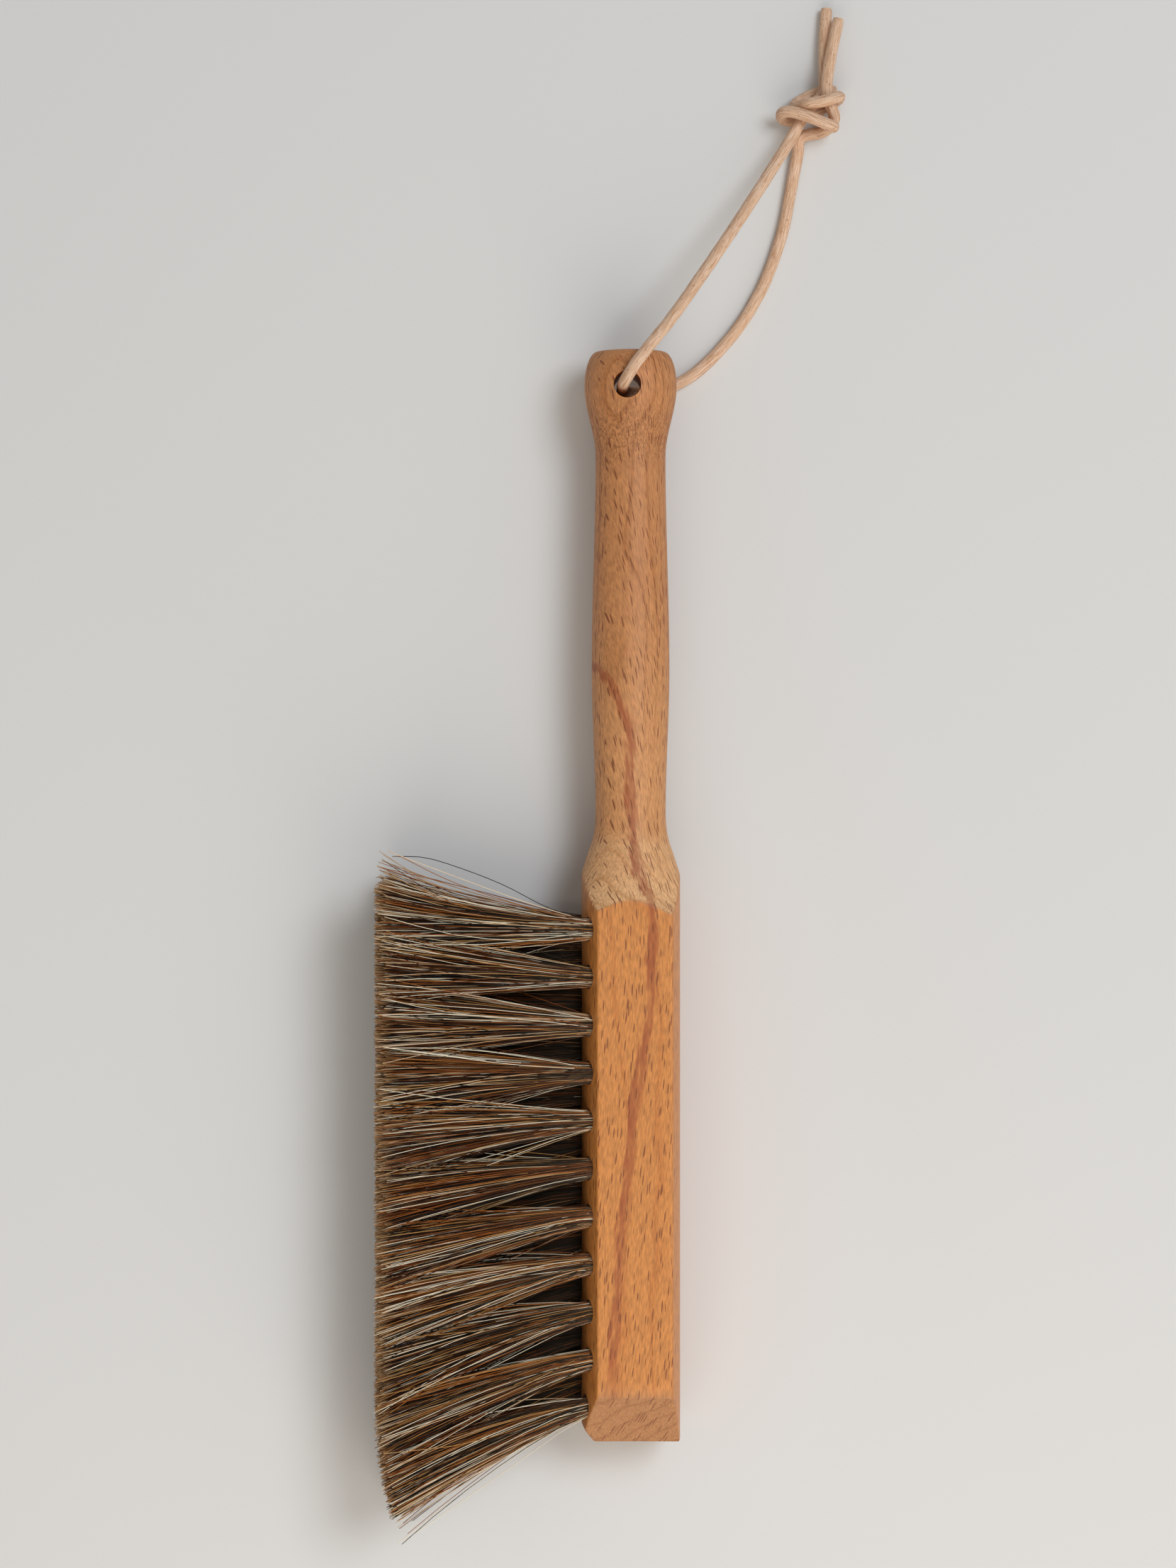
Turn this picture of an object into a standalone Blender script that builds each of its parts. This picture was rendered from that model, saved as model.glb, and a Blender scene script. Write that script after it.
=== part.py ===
"""Hand brush with a turned beech block and handle, tufts of horse hair and a leather lace.

The brush lies on its side. +Y runs along the handle towards its knob, the hair points to -X, and one flat side face
of the block lies on z = 0. The origin is on that face, straight under the wood's axis, at the middle of the block.

The wood is one piece. Each tuft is folded round a flat metal anchor at the bottom of its blind hole. The lace passes
through the hanging hole in the knob and swings about it.
"""

import math
from collections import namedtuple

import bmesh
import bpy
from mathutils import Vector
from mathutils.geometry import interpolate_bezier

# ---- Clearance between pieces that touch on the real brush
GAP = 0.0003

# ---- Block (metres)
BLOCK_LENGTH = 0.167
BLOCK_THICKNESS = 0.036  # between the two flat side faces
BLOCK_DEPTH = 0.029  # from the hair face to the back, at their crowns
HAIR_FACE_CROWN = 0.0048  # height of the hair face's curve
BACK_CROWN = 0.0025  # height of the back's curve
CROWN_STEPS = 8
END_CHAMFER_LENGTH = 0.0143  # along the block, on both side faces
END_CHAMFER_DEPTH = 0.0115
HAIR_CHAMFER_LENGTH = 0.0051  # along the block, on the hair face
HAIR_CHAMFER_DEPTH = 0.0038
EDGE_ROUNDING = 0.0005

# ---- Turned handle: distances from its end or from the shoulder, and radii
HANDLE_LENGTH = 0.152
END_CROWN = 0.0006
END_FLAT_RADIUS = 0.0098
END_CORNER = 0.0017
KNOB_FROM_END = 0.011
KNOB_RADIUS = 0.0135
NECK_FROM_END = 0.031
NECK_RADIUS = 0.01025
GRIP_FROM_SHOULDER = 0.058
GRIP_RADIUS = 0.0114
WAIST_FROM_SHOULDER = 0.017
WAIST_RADIUS = 0.0103
COVE_FROM_SHOULDER = 0.0065
COVE_RADIUS = 0.0118
COVE_SLOPE = 0.36  # radius gained for each metre along the axis
CONE_INTO_BLOCK = 0.0088  # how far past the shoulder the cone reaches the side faces
CONE_SLOPE = 0.62
SHOULDER_STEEPEST = 1.15
PROFILE_STEPS = 6
TURNED_STEPS = 40

# ---- Hanging hole
HANGING_HOLE_DIAMETER = 0.008
HANGING_HOLE_FROM_END = 0.011
HANGING_HOLE_OFFSET = -0.001  # drilled a little to the hair's side of the axis
HANGING_HOLE_SIDES = 32

# ---- Tufts
OUTER_ROW_COUNT = 11
MIDDLE_ROW_COUNT = OUTER_ROW_COUNT - 1
ROW_SPACING = 0.0120
LAST_ROW_SPACING = 0.0090  # of the last holes, which stay clear of the end chamfers
FIRST_HOLE_FROM_SHOULDER = 0.0173
LAST_HOLE_FROM_END = 0.0107
HOLE_DIAMETER = 0.007
HOLE_DEPTH = 0.0125  # from the crown of the hair face
HOLE_SIDES = 16
HAIR_LENGTH = 0.060  # free length, from the crown of the hair face
FIRST_TIP_FROM_SHOULDER = 0.0105
LAST_TIP_PAST_END = 0.0135
FIELD_TOP = 0.040  # height of the upper row's highest tips
TIP_SQUARENESS = 4.0
TUFT_SIDES = 12
FAN_START = 0.0005  # past the crown, where a tuft starts to spread
FAN_STEPS = 3
TRIM_START = 0.0080  # past the block's end, where the tips' line turns in
TRIM_SLOPE = 0.26

# ---- Anchors
ANCHOR_WIRE = (0.0016, 0.00045)  # width along the hole, thickness across it
ANCHOR_BITE = 0.0006  # how far each end reaches into the wood
FOLD_THICKNESS = 0.0011  # hair between the anchor and the bottom of the hole

# ---- Lace: routes in millimetres from the hanging hole's axis, with heights from the floor
LACE_DIAMETER = 0.0035
LACE_POINT_SPACING = 0.0035
LACE_FRONT_ROUTE = (
    (-1.3, -0.1, 18.2),
    (-1.3, -0.1, 22.5),
    (-1.3, -0.1, 26.6),
    (-0.9, 0.6, 30.4),
    (0.3, 2.5, 33.1),
    (2.3, 5.6, 34.3),
    (6.3, 10.9, 33.4),
    (11.3, 17.1, 31.0),
    (16.8, 24.9, 27.8),
    (22.8, 33.8, 24.2),
    (28.8, 42.9, 20.6),
    (34.4, 51.6, 17.3),
    (38.8, 58.6, 14.6),
    (42.8, 65.0, 12.2),
    (46.2, 70.6, 10.1),
    (48.9, 75.2, 8.4),
)
LACE_BACK_ROUTE = (
    (-1.3, -0.1, 17.8),
    (-1.3, -0.1, 13.0),
    (-1.3, -0.1, 8.8),
    (-0.4, -0.1, 5.3),
    (2.2, 0.0, 2.75),
    (5.7, 0.2, 1.85),
    (9.9, 0.8, 1.8),
    (14.1, 2.1, 1.8),
    (20.8, 6.1, 1.8),
    (29.0, 14.1, 1.8),
    (36.1, 23.6, 1.8),
    (42.0, 35.1, 1.8),
    (46.6, 49.0, 1.8),
    (49.3, 63.1, 1.9),
    (50.8, 71.0, 2.7),
    (51.3, 75.1, 3.4),
)
KNOT_CENTRE = (54.4, 82.0, 6.9)
KNOT_SIZE = (20.4, 14.6, 13.4)
TAIL_SIDES = 8
TAIL_ROUTES = (
    ((58.4, 86.5, 5.3), (58.6, 101.6, 3.0), (59.3, 113.9, 2.2)),
    ((59.0, 86.0, 9.0), (60.7, 101.0, 6.8), (62.7, 110.3, 5.2)),
)

# ---- Worked out from the sizes above
AXIS_Z = BLOCK_THICKNESS / 2
SHOULDER_Y = BLOCK_LENGTH / 2
BLOCK_END_Y = -BLOCK_LENGTH / 2
HANDLE_END_Y = SHOULDER_Y + HANDLE_LENGTH
HAIR_FACE_X = -BLOCK_DEPTH / 2
BACK_X = BLOCK_DEPTH / 2
OUTSIDE = 0.002  # how far a cutter runs past what it cuts
HOLE_PITCH = (BLOCK_LENGTH - FIRST_HOLE_FROM_SHOULDER - LAST_HOLE_FROM_END) / (OUTER_ROW_COUNT - 1)
TIP_PITCH = (BLOCK_LENGTH - FIRST_TIP_FROM_SHOULDER + LAST_TIP_PAST_END) / (OUTER_ROW_COUNT - 1)
HANGING_HOLE = Vector((HANGING_HOLE_OFFSET, HANDLE_END_Y - HANGING_HOLE_FROM_END, 0))
HOLE_BOTTOM_X = HAIR_FACE_X + HOLE_DEPTH
TUFT_ROOT_RADIUS = HOLE_DIAMETER / 2 - GAP
ANCHOR_X = HOLE_BOTTOM_X - GAP - FOLD_THICKNESS - GAP - ANCHOR_WIRE[0] / 2
ANCHOR_LENGTH = HOLE_DIAMETER + 2 * ANCHOR_BITE


# ---- Materials
def material(name, colour, roughness, metallic=0.0):
    made = bpy.data.materials.new(name)
    made.use_nodes = True
    shader = made.node_tree.nodes["Principled BSDF"]
    shader.inputs["Base Color"].default_value = (*colour, 1)
    shader.inputs["Roughness"].default_value = roughness
    shader.inputs["Metallic"].default_value = metallic
    return made


# ---- Helpers
def add_object(name, mesh, finish=None):
    if finish:
        mesh.materials.append(finish)
    made = bpy.data.objects.new(name, mesh)
    bpy.context.scene.collection.objects.link(made)
    return made


def mesh_of(name, bm):
    mesh = bpy.data.meshes.new(name)
    bmesh.ops.recalc_face_normals(bm, faces=bm.faces)
    bm.to_mesh(mesh)
    bm.free()
    return mesh


def as_cutter(helper):
    helper.hide_render = True
    helper.display_type = "WIRE"
    return helper


def boolean(target, operation, other):
    change = target.modifiers.new(operation.title() + " " + other.name, "BOOLEAN")
    change.operation = operation
    change.solver = "EXACT"
    change.object = other


def ring(bm, points):
    return [bm.verts.new(point) for point in points]


def loft(bm, rings):
    """Joins rings of the same number of points with quads and closes both ends."""
    for first, second in zip(rings, rings[1:]):
        for i, corner in enumerate(first):
            after = (i + 1) % len(first)
            bm.faces.new((corner, first[after], second[after], second[i]))
    bm.faces.new(rings[0])
    bm.faces.new(reversed(rings[-1]))


def add_box(bm, centre, size):
    half = [side / 2 for side in size]
    rings = []
    for x in (-half[0], half[0]):
        corners = ((-1, -1), (1, -1), (1, 1), (-1, 1))
        rings.append(
            ring(bm, [Vector(centre) + Vector((x, y * half[1], z * half[2])) for y, z in corners])
        )
    loft(bm, rings)


def add_cylinder(bm, centres, radius, sides, across, up):
    """A round bar through two or more centres. Its sides start half a step round from the direction across."""
    turns = [2 * math.pi * (i + 0.5) / sides for i in range(sides)]
    rim = [radius * (math.cos(turn) * across + math.sin(turn) * up) for turn in turns]
    loft(bm, [ring(bm, [centre + point for point in rim]) for centre in centres])


def slice_off(bm, point, outward):
    """Cuts away what lies beyond a plane and closes the cut."""
    geometry = bm.verts[:] + bm.edges[:] + bm.faces[:]
    cut = bmesh.ops.bisect_plane(bm, geom=geometry, plane_co=point, plane_no=outward, clear_outer=True)
    edges = [item for item in cut["geom_cut"] if isinstance(item, bmesh.types.BMEdge)]
    if edges:
        bmesh.ops.edgeloop_fill(bm, edges=edges)


# ---- Wood
def crown(height, half_width, z):
    """How far a crowned face falls back from its crown at a height z from the middle."""
    radius = (half_width**2 + height**2) / (2 * height)
    return radius - math.sqrt(radius**2 - z**2)


def section_outline():
    """The block's section, seen along the handle: two flat sides, a crowned back and a crowned hair face."""
    half = BLOCK_THICKNESS / 2
    heights = [half * (2 * i / CROWN_STEPS - 1) for i in range(CROWN_STEPS + 1)]
    back = [(BACK_X - crown(BACK_CROWN, half, z), z) for z in heights]
    hair = [(HAIR_FACE_X + crown(HAIR_FACE_CROWN, half, z), z) for z in reversed(heights)]
    return [(x, z + AXIS_Z) for x, z in back + hair]


def wood_blank():
    """A bar of the block's section, as long as the brush, with its block end chamfered."""
    bm = bmesh.new()
    ends = (BLOCK_END_Y, HANDLE_END_Y + OUTSIDE)
    loft(bm, [ring(bm, [(x, y, z) for x, z in section_outline()]) for y in ends])
    slope = END_CHAMFER_DEPTH / END_CHAMFER_LENGTH
    for side in (-1, 1):
        point = (0, BLOCK_END_Y + END_CHAMFER_LENGTH, AXIS_Z + side * BLOCK_THICKNESS / 2)
        slice_off(bm, point, (0, -slope, side))
    slope = HAIR_CHAMFER_DEPTH / HAIR_CHAMFER_LENGTH
    slice_off(bm, (HAIR_FACE_X, BLOCK_END_Y + HAIR_CHAMFER_LENGTH, 0), (-1, -slope, 0))
    return mesh_of("wood_blank", bm)


def shaped(start, end, start_slope, end_slope):
    """Points of a turned curve between two places (along, radius), without its last point."""
    reach = (end[0] - start[0]) / 3
    first = Vector((start[0] + reach, start[1] + start_slope * reach))
    second = Vector((end[0] - reach, end[1] - end_slope * reach))
    return interpolate_bezier(Vector(start), first, second, Vector(end), PROFILE_STEPS + 1)[:-1]


def turned_profile():
    """(distance from the handle's end, radius), from the middle of the knob's end to past the block's end."""
    knob = (KNOB_FROM_END, KNOB_RADIUS)
    neck = (NECK_FROM_END, NECK_RADIUS)
    grip = (HANDLE_LENGTH - GRIP_FROM_SHOULDER, GRIP_RADIUS)
    waist = (HANDLE_LENGTH - WAIST_FROM_SHOULDER, WAIST_RADIUS)
    cove = (HANDLE_LENGTH - COVE_FROM_SHOULDER, COVE_RADIUS)
    cone = (HANDLE_LENGTH + CONE_INTO_BLOCK, BLOCK_THICKNESS / 2)
    corner = math.hypot(BLOCK_DEPTH / 2, BLOCK_THICKNESS / 2) + OUTSIDE
    past_corner = (cone[0] + (corner - cone[1]) / SHOULDER_STEEPEST, corner)
    last = (HANDLE_LENGTH + BLOCK_LENGTH + OUTSIDE, corner)
    end_edge = Vector((END_CROWN, END_FLAT_RADIUS))
    end_handle = end_edge + Vector((0, END_CORNER))
    knob_handle = Vector((KNOB_FROM_END * 0.36, KNOB_RADIUS))
    profile = [(0, 0), (END_CROWN * 0.35, END_FLAT_RADIUS * 0.6)]
    profile += interpolate_bezier(end_edge, end_handle, knob_handle, Vector(knob), PROFILE_STEPS + 1)[:-1]
    profile += shaped(knob, neck, 0, 0)
    profile += shaped(neck, grip, 0, 0)
    profile += shaped(grip, waist, 0, 0)
    profile += shaped(waist, cove, 0, COVE_SLOPE)
    profile += shaped(cove, cone, COVE_SLOPE, CONE_SLOPE)
    profile += shaped(cone, past_corner, CONE_SLOPE, SHOULDER_STEEPEST)
    return profile + [past_corner, last, (last[0], 0)]


def turned_envelope():
    """What the lathe leaves: the handle's shape, and more than the block's section along the block."""
    bm = bmesh.new()
    # Half a step round, so that no corner of a ring lies exactly in a side face.
    turn = math.pi / TURNED_STEPS
    points = []
    for along, radius in turned_profile():
        x, z = radius * math.cos(turn), radius * math.sin(turn)
        points.append(bm.verts.new((x, HANDLE_END_Y - along, AXIS_Z + z)))
    edges = [bm.edges.new(pair) for pair in zip(points, points[1:])]
    bmesh.ops.spin(
        bm,
        geom=points + edges,
        cent=(0, 0, AXIS_Z),
        axis=(0, 1, 0),
        angle=2 * math.pi,
        steps=TURNED_STEPS,
    )
    bmesh.ops.remove_doubles(bm, verts=bm.verts, dist=1e-6)
    return mesh_of("turned_envelope", bm)


def hair_hole_cutters():
    bm = bmesh.new()
    for hole in hole_places():
        ends = (HOLE_BOTTOM_X, HAIR_FACE_X - OUTSIDE)
        centres = [Vector((x, hole.along, hole.height)) for x in ends]
        add_cylinder(bm, centres, HOLE_DIAMETER / 2, HOLE_SIDES, Vector((0, 1, 0)), Vector((0, 0, 1)))
    return mesh_of("hair_hole_cutters", bm)


def notch_cutters():
    bm = bmesh.new()
    for hole in hole_places():
        add_box(bm, (ANCHOR_X, hole.along, hole.height), anchor_size(GAP))
    return mesh_of("notch_cutters", bm)


def hanging_hole_cutter():
    bm = bmesh.new()
    reach = KNOB_RADIUS + OUTSIDE
    centres = [HANGING_HOLE + Vector((0, 0, AXIS_Z + side * reach)) for side in (-1, 1)]
    radius = HANGING_HOLE_DIAMETER / 2
    add_cylinder(bm, centres, radius, HANGING_HOLE_SIDES, Vector((1, 0, 0)), Vector((0, 1, 0)))
    return mesh_of("hanging_hole_cutter", bm)


def build_wood(finish):
    wood = add_object("block_and_handle", wood_blank(), finish)
    rounding = wood.modifiers.new("Softened edges", "BEVEL")
    rounding.width = EDGE_ROUNDING
    rounding.segments = 2
    rounding.limit_method = "ANGLE"
    rounding.angle_limit = math.radians(30)
    boolean(wood, "INTERSECT", as_cutter(add_object("turned_envelope", turned_envelope())))
    boolean(wood, "DIFFERENCE", as_cutter(add_object("hair_hole_cutters", hair_hole_cutters())))
    boolean(wood, "DIFFERENCE", as_cutter(add_object("notch_cutters", notch_cutters())))
    boolean(wood, "DIFFERENCE", as_cutter(add_object("hanging_hole_cutter", hanging_hole_cutter())))
    wood.data.shade_smooth()
    wood.data.set_sharp_from_angle(angle=math.radians(30))


# ---- Tufts and anchors
Hole = namedtuple("Hole", "row number step along height")


ROWS = ("lower", "middle", "upper")


def row_steps(row):
    """Places along a row, counted in pitches. The middle row stands between the others' tufts."""
    if row == "middle":
        return [i + 0.5 for i in range(MIDDLE_ROW_COUNT)]
    return list(range(OUTER_ROW_COUNT))


def hole_places():
    places = []
    for row in ROWS:
        for number, step in enumerate(row_steps(row), start=1):
            spacing = LAST_ROW_SPACING if number == OUTER_ROW_COUNT else ROW_SPACING
            height = AXIS_Z + (ROWS.index(row) - 1) * spacing
            along = SHOULDER_Y - FIRST_HOLE_FROM_SHOULDER - HOLE_PITCH * step
            places.append(Hole(row, number, step, along, height))
    return places


def anchor_size(clearance):
    return (
        ANCHOR_WIRE[0] + 2 * clearance,
        ANCHOR_LENGTH + 2 * clearance,
        ANCHOR_WIRE[1] + 2 * clearance,
    )


def tip_band(row):
    """The middle and half of the height that a row's tips take up."""
    height = (FIELD_TOP - GAP) / len(ROWS)
    return GAP + height * (ROWS.index(row) + 0.5), (height - GAP) / 2


def tuft_ring(bm, root, tip, spread, x):
    """One section of a tuft: round at the root, a rounded oblong at the tips."""
    centre = root[0].lerp(tip[0], spread)
    half_along = root[1] + (tip[1] - root[1]) * spread
    half_height = root[1] + (tip[2] - root[1]) * spread
    power = 2 / (2 + (TIP_SQUARENESS - 2) * spread)
    points = []
    for i in range(TUFT_SIDES):
        turn = 2 * math.pi * (i + 0.5) / TUFT_SIDES
        along = math.copysign(abs(math.cos(turn)) ** power, math.cos(turn))
        height = math.copysign(abs(math.sin(turn)) ** power, math.sin(turn))
        points.append((x, centre.x + half_along * along, centre.y + half_height * height))
    return ring(bm, points)


def tuft_mesh(hole):
    """A tuft from the bottom of its hole to its trimmed tips."""
    bm = bmesh.new()
    band_middle, band_half = tip_band(hole.row)
    tip_along = SHOULDER_Y - FIRST_TIP_FROM_SHOULDER - TIP_PITCH * hole.step
    root = (Vector((hole.along, hole.height)), TUFT_ROOT_RADIUS)
    tip = (Vector((tip_along, band_middle)), (TIP_PITCH - GAP) / 2, band_half)
    fan_x = HAIR_FACE_X - FAN_START
    tip_x = HAIR_FACE_X - HAIR_LENGTH
    rings = [tuft_ring(bm, root, tip, 0, HOLE_BOTTOM_X - GAP)]
    for i in range(FAN_STEPS + 1):
        spread = i / FAN_STEPS
        rings.append(tuft_ring(bm, root, tip, spread, fan_x + (tip_x - fan_x) * spread))
    loft(bm, rings)
    slice_off(bm, (tip_x, BLOCK_END_Y + TRIM_START, 0), (-1, -TRIM_SLOPE, 0))
    return mesh_of("tuft", bm)


def anchor_mesh(clearance):
    bm = bmesh.new()
    add_box(bm, (0, 0, 0), anchor_size(clearance))
    return mesh_of("anchor", bm)


def build_filling(hair_finish, metal_finish):
    for hole in hole_places():
        label = f"{hole.row}_{hole.number:02d}"
        place = (ANCHOR_X, hole.along, hole.height)
        tuft = add_object(f"tuft_{label}", tuft_mesh(hole), hair_finish)
        anchor = add_object(f"anchor_{label}", anchor_mesh(0), metal_finish)
        anchor.location = place
        # The middle row's anchors are one solid with their tufts, because the model holds 60 solids at most.
        if hole.row == "middle":
            boolean(tuft, "UNION", as_cutter(anchor))
            continue
        fold = as_cutter(add_object(f"fold_{label}", anchor_mesh(GAP)))
        fold.location = place
        boolean(tuft, "DIFFERENCE", fold)


# ---- Lace
def from_hole(route):
    """Turns a lace route into places in the brush's frame."""
    return [HANGING_HOLE + Vector(point) / 1000 for point in route]


def smooth_line(route, spacing):
    """Points at an even spacing on a smooth curve through the route's points."""
    padded = [2 * route[0] - route[1], *route, 2 * route[-1] - route[-2]]
    dense = []
    for before, start, end, after in zip(padded, padded[1:], padded[2:], padded[3:]):
        length = (end - start).length
        lead_in = (end - before) * length / ((start - before).length + length) / 3
        lead_out = (after - start) * length / ((after - end).length + length) / 3
        dense += interpolate_bezier(start, start + lead_in, end - lead_out, end, 24)[:-1]
    dense.append(route[-1])
    travelled = [0.0]
    for first, second in zip(dense, dense[1:]):
        travelled.append(travelled[-1] + (second - first).length)
    count = round(travelled[-1] / spacing)
    points = []
    place = 0
    for i in range(count + 1):
        wanted = travelled[-1] * i / count
        while place < len(dense) - 2 and travelled[place + 1] < wanted:
            place += 1
        share = (wanted - travelled[place]) / (travelled[place + 1] - travelled[place])
        points.append(dense[place].lerp(dense[place + 1], share))
    return points


def cord_curve(name, points, finish):
    curve = bpy.data.curves.new(name, "CURVE")
    curve.dimensions = "3D"
    curve.bevel_depth = LACE_DIAMETER / 2
    curve.bevel_resolution = 2
    curve.use_fill_caps = True
    spline = curve.splines.new("POLY")
    spline.points.add(len(points) - 1)
    for slot, point in zip(spline.points, points):
        slot.co = (*point, 1)
    if finish:
        curve.materials.append(finish)
    made = bpy.data.objects.new(name, curve)
    bpy.context.scene.collection.objects.link(made)
    return made


def tail_mesh(points):
    """A short round bar through a few points, with its rings square to the handle."""
    bm = bmesh.new()
    add_cylinder(bm, points, LACE_DIAMETER / 2, TAIL_SIDES, Vector((1, 0, 0)), Vector((0, 0, 1)))
    return mesh_of("tail", bm)


def build_knot(finish):
    """The knot as a rounded lump with the lace's two ends standing out of it."""
    bm = bmesh.new()
    bmesh.ops.create_icosphere(bm, subdivisions=3, radius=0.5)
    centre = from_hole([KNOT_CENTRE])[0]
    for vertex in bm.verts:
        place = Vector([part * size / 1000 for part, size in zip(vertex.co, KNOT_SIZE)])
        vertex.co = centre + place
    knot = add_object("lace_knot", mesh_of("lace_knot", bm), finish)
    for number, route in enumerate(TAIL_ROUTES, start=1):
        tail = as_cutter(add_object(f"tail_{number}", tail_mesh(from_hole(route))))
        boolean(knot, "UNION", tail)


def build_lace(finish):
    for name, route in (("lace_front", LACE_FRONT_ROUTE), ("lace_back", LACE_BACK_ROUTE)):
        cord_curve(name, smooth_line(from_hole(route), LACE_POINT_SPACING), finish)
    build_knot(finish)


def main():
    for leftover in list(bpy.data.objects):
        bpy.data.objects.remove(leftover)
    beech = material("Oiled beech", (0.56, 0.29, 0.12), 0.5)
    hair = material("Horse hair", (0.19, 0.13, 0.09), 0.55)
    metal = material("Zinc-plated steel", (0.62, 0.62, 0.60), 0.35, 1.0)
    leather = material("Natural leather", (0.72, 0.50, 0.36), 0.7)
    build_wood(beech)
    build_filling(hair, metal)
    build_lace(leather)


main()
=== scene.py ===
# %% [markdown]
# # A hand brush of beech, horse hair and leather
#
# This lesson dresses a finished engineering model of a small brush: a block and handle turned from one piece
# of beech, thirty-two tufts of horse hair in three staggered rows, and a leather lace knotted through the
# handle's end.
#
# The model is loaded as a fixed frame. Nothing in it is moved. Each plain solid is then replaced by a piece
# that has the look of the real thing, in the same place and at the same size.

# %% Load the frame
import math

import bpy
import numpy as np
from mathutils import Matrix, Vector
from mathutils.geometry import interpolate_bezier


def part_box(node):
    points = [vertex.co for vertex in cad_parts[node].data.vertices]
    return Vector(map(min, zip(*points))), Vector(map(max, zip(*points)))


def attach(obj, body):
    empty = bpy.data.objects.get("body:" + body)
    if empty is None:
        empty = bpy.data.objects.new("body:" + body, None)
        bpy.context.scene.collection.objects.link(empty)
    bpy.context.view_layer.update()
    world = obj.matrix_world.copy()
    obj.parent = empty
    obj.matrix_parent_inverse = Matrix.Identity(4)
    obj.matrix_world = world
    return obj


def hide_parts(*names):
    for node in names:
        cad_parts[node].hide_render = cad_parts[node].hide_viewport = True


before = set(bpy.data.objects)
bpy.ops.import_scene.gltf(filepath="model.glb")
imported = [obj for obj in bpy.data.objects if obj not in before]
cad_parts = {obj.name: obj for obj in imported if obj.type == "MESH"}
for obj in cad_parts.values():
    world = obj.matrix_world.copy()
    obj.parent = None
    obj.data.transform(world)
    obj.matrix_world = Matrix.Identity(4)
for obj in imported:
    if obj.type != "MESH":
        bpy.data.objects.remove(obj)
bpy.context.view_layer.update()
MM = 0.001

# %% [markdown]
# ## Places that everything else is measured from
#
# The brush lies on its side. Its handle runs along +Y, its hair points to -X and the floor is z = 0. The
# lowest and highest corners of the wooden piece give the block's end, the handle's end and the height of the
# wood's axis.

# %% Read the wood's places from the frame
wood_low, wood_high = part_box("block_and_handle")
AXIS_Z = (wood_low.z + wood_high.z) / 2
BLOCK_END_Y = wood_low.y
HANDLE_END_Y = wood_high.y
HANDLE_LENGTH = 152 * MM
SHOULDER_Y = HANDLE_END_Y - HANDLE_LENGTH
HANGING_HOLE = Vector((-1 * MM, HANDLE_END_Y - 11 * MM, 0))
places = {"axis": AXIS_Z, "shoulder": SHOULDER_Y, "end": HANDLE_END_Y}
print({name: f"{place / MM:.1f} mm" for name, place in places.items()})

# %% [markdown]
# ## Camera, light and floor
#
# The camera looks straight down, a little over a metre above the brush, as in a flat lay. One big soft light
# hangs high to the upper right, so shadows fall short and to the left with a wide blurred edge. A wide light
# at the foot of the table and a pale world fill them, and make the floor brighter towards the block's end. A
# plain view transform keeps every colour as it is mixed.

# %% Functions for colours, nodes and objects
MATH, VECTOR, RANGE = "ShaderNodeMath", "ShaderNodeVectorMath", "ShaderNodeMapRange"


def linear(hex_colour):
    """An sRGB hex colour as the linear numbers that a shader takes."""
    channels = [int(hex_colour[i : i + 2], 16) / 255 for i in (1, 3, 5)]
    return (*[c / 12.92 if c <= 0.04045 else ((c + 0.055) / 1.055) ** 2.4 for c in channels], 1)


def feed(node, inputs):
    """Fills a node's inputs with values, sockets or nodes. A node stands for its first output in use."""
    for name, value in dict(inputs).items():
        if isinstance(value, bpy.types.Node):
            value = next(output for output in value.outputs if output.enabled)
        if isinstance(value, bpy.types.NodeSocket):
            node.id_data.links.new(value, node.inputs[name])
        else:
            node.inputs[name].default_value = value
    return node


def add(tree, kind, inputs=(), stops=(), **settings):
    """Adds a node. stops are a colour ramp's places and hex colours, from first to last."""
    node = tree.nodes.new(kind)
    for name, value in settings.items():
        setattr(node, name, value)
    for element, (place, colour) in zip(node.color_ramp.elements if stops else (), (*stops[:1], *stops[-1:])):
        element.position = place
        element.color = linear(colour)
    for place, colour in stops[1:-1]:
        node.color_ramp.elements.new(place).color = linear(colour)
    return feed(node, inputs)


def chain(tree, value, *steps):
    """Passes a value through nodes in turn. Each step has a kind, its operation and its other inputs."""
    for kind, operation, others in steps:
        value = add(tree, kind, {0: value, **others}, operation=operation)
    return value


def ranged(value, before=(0.0, 1.0), after=(0.0, 1.0)):
    """What a Map Range node takes: a value, the span it is read in and the span it comes out in."""
    labels = ("Value", "From Min", "From Max", "To Min", "To Max")
    return dict(zip(labels, (value, *before, *after)))


def layered(tree, colour, layers):
    """Lays colours over a colour. Each layer has a share from the surface, a strength and its own colour."""
    for share, strength, over in layers:
        amount = add(tree, MATH, {0: share, 1: strength}, operation="MULTIPLY")
        colour = add(tree, "ShaderNodeMix", {0: amount, 6: colour, 7: over}, data_type="RGBA")
    return colour


def linked(name, data):
    """A new object in the scene that holds a mesh, a light or a camera."""
    made = bpy.data.objects.new(name, data)
    bpy.context.scene.collection.objects.link(made)
    return made


# %% Set up the camera
camera_data = bpy.data.cameras.new("flat_lay_camera")
camera_data.sensor_width = 36
camera_data.lens = 101.8
camera = linked("flat_lay_camera", camera_data)
camera.location = (-12.47 * MM, 108.34 * MM, 1.318)
bpy.context.scene.camera = camera
bpy.context.scene.view_settings.view_transform = "Standard"
print("camera height", camera.location.z)


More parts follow.
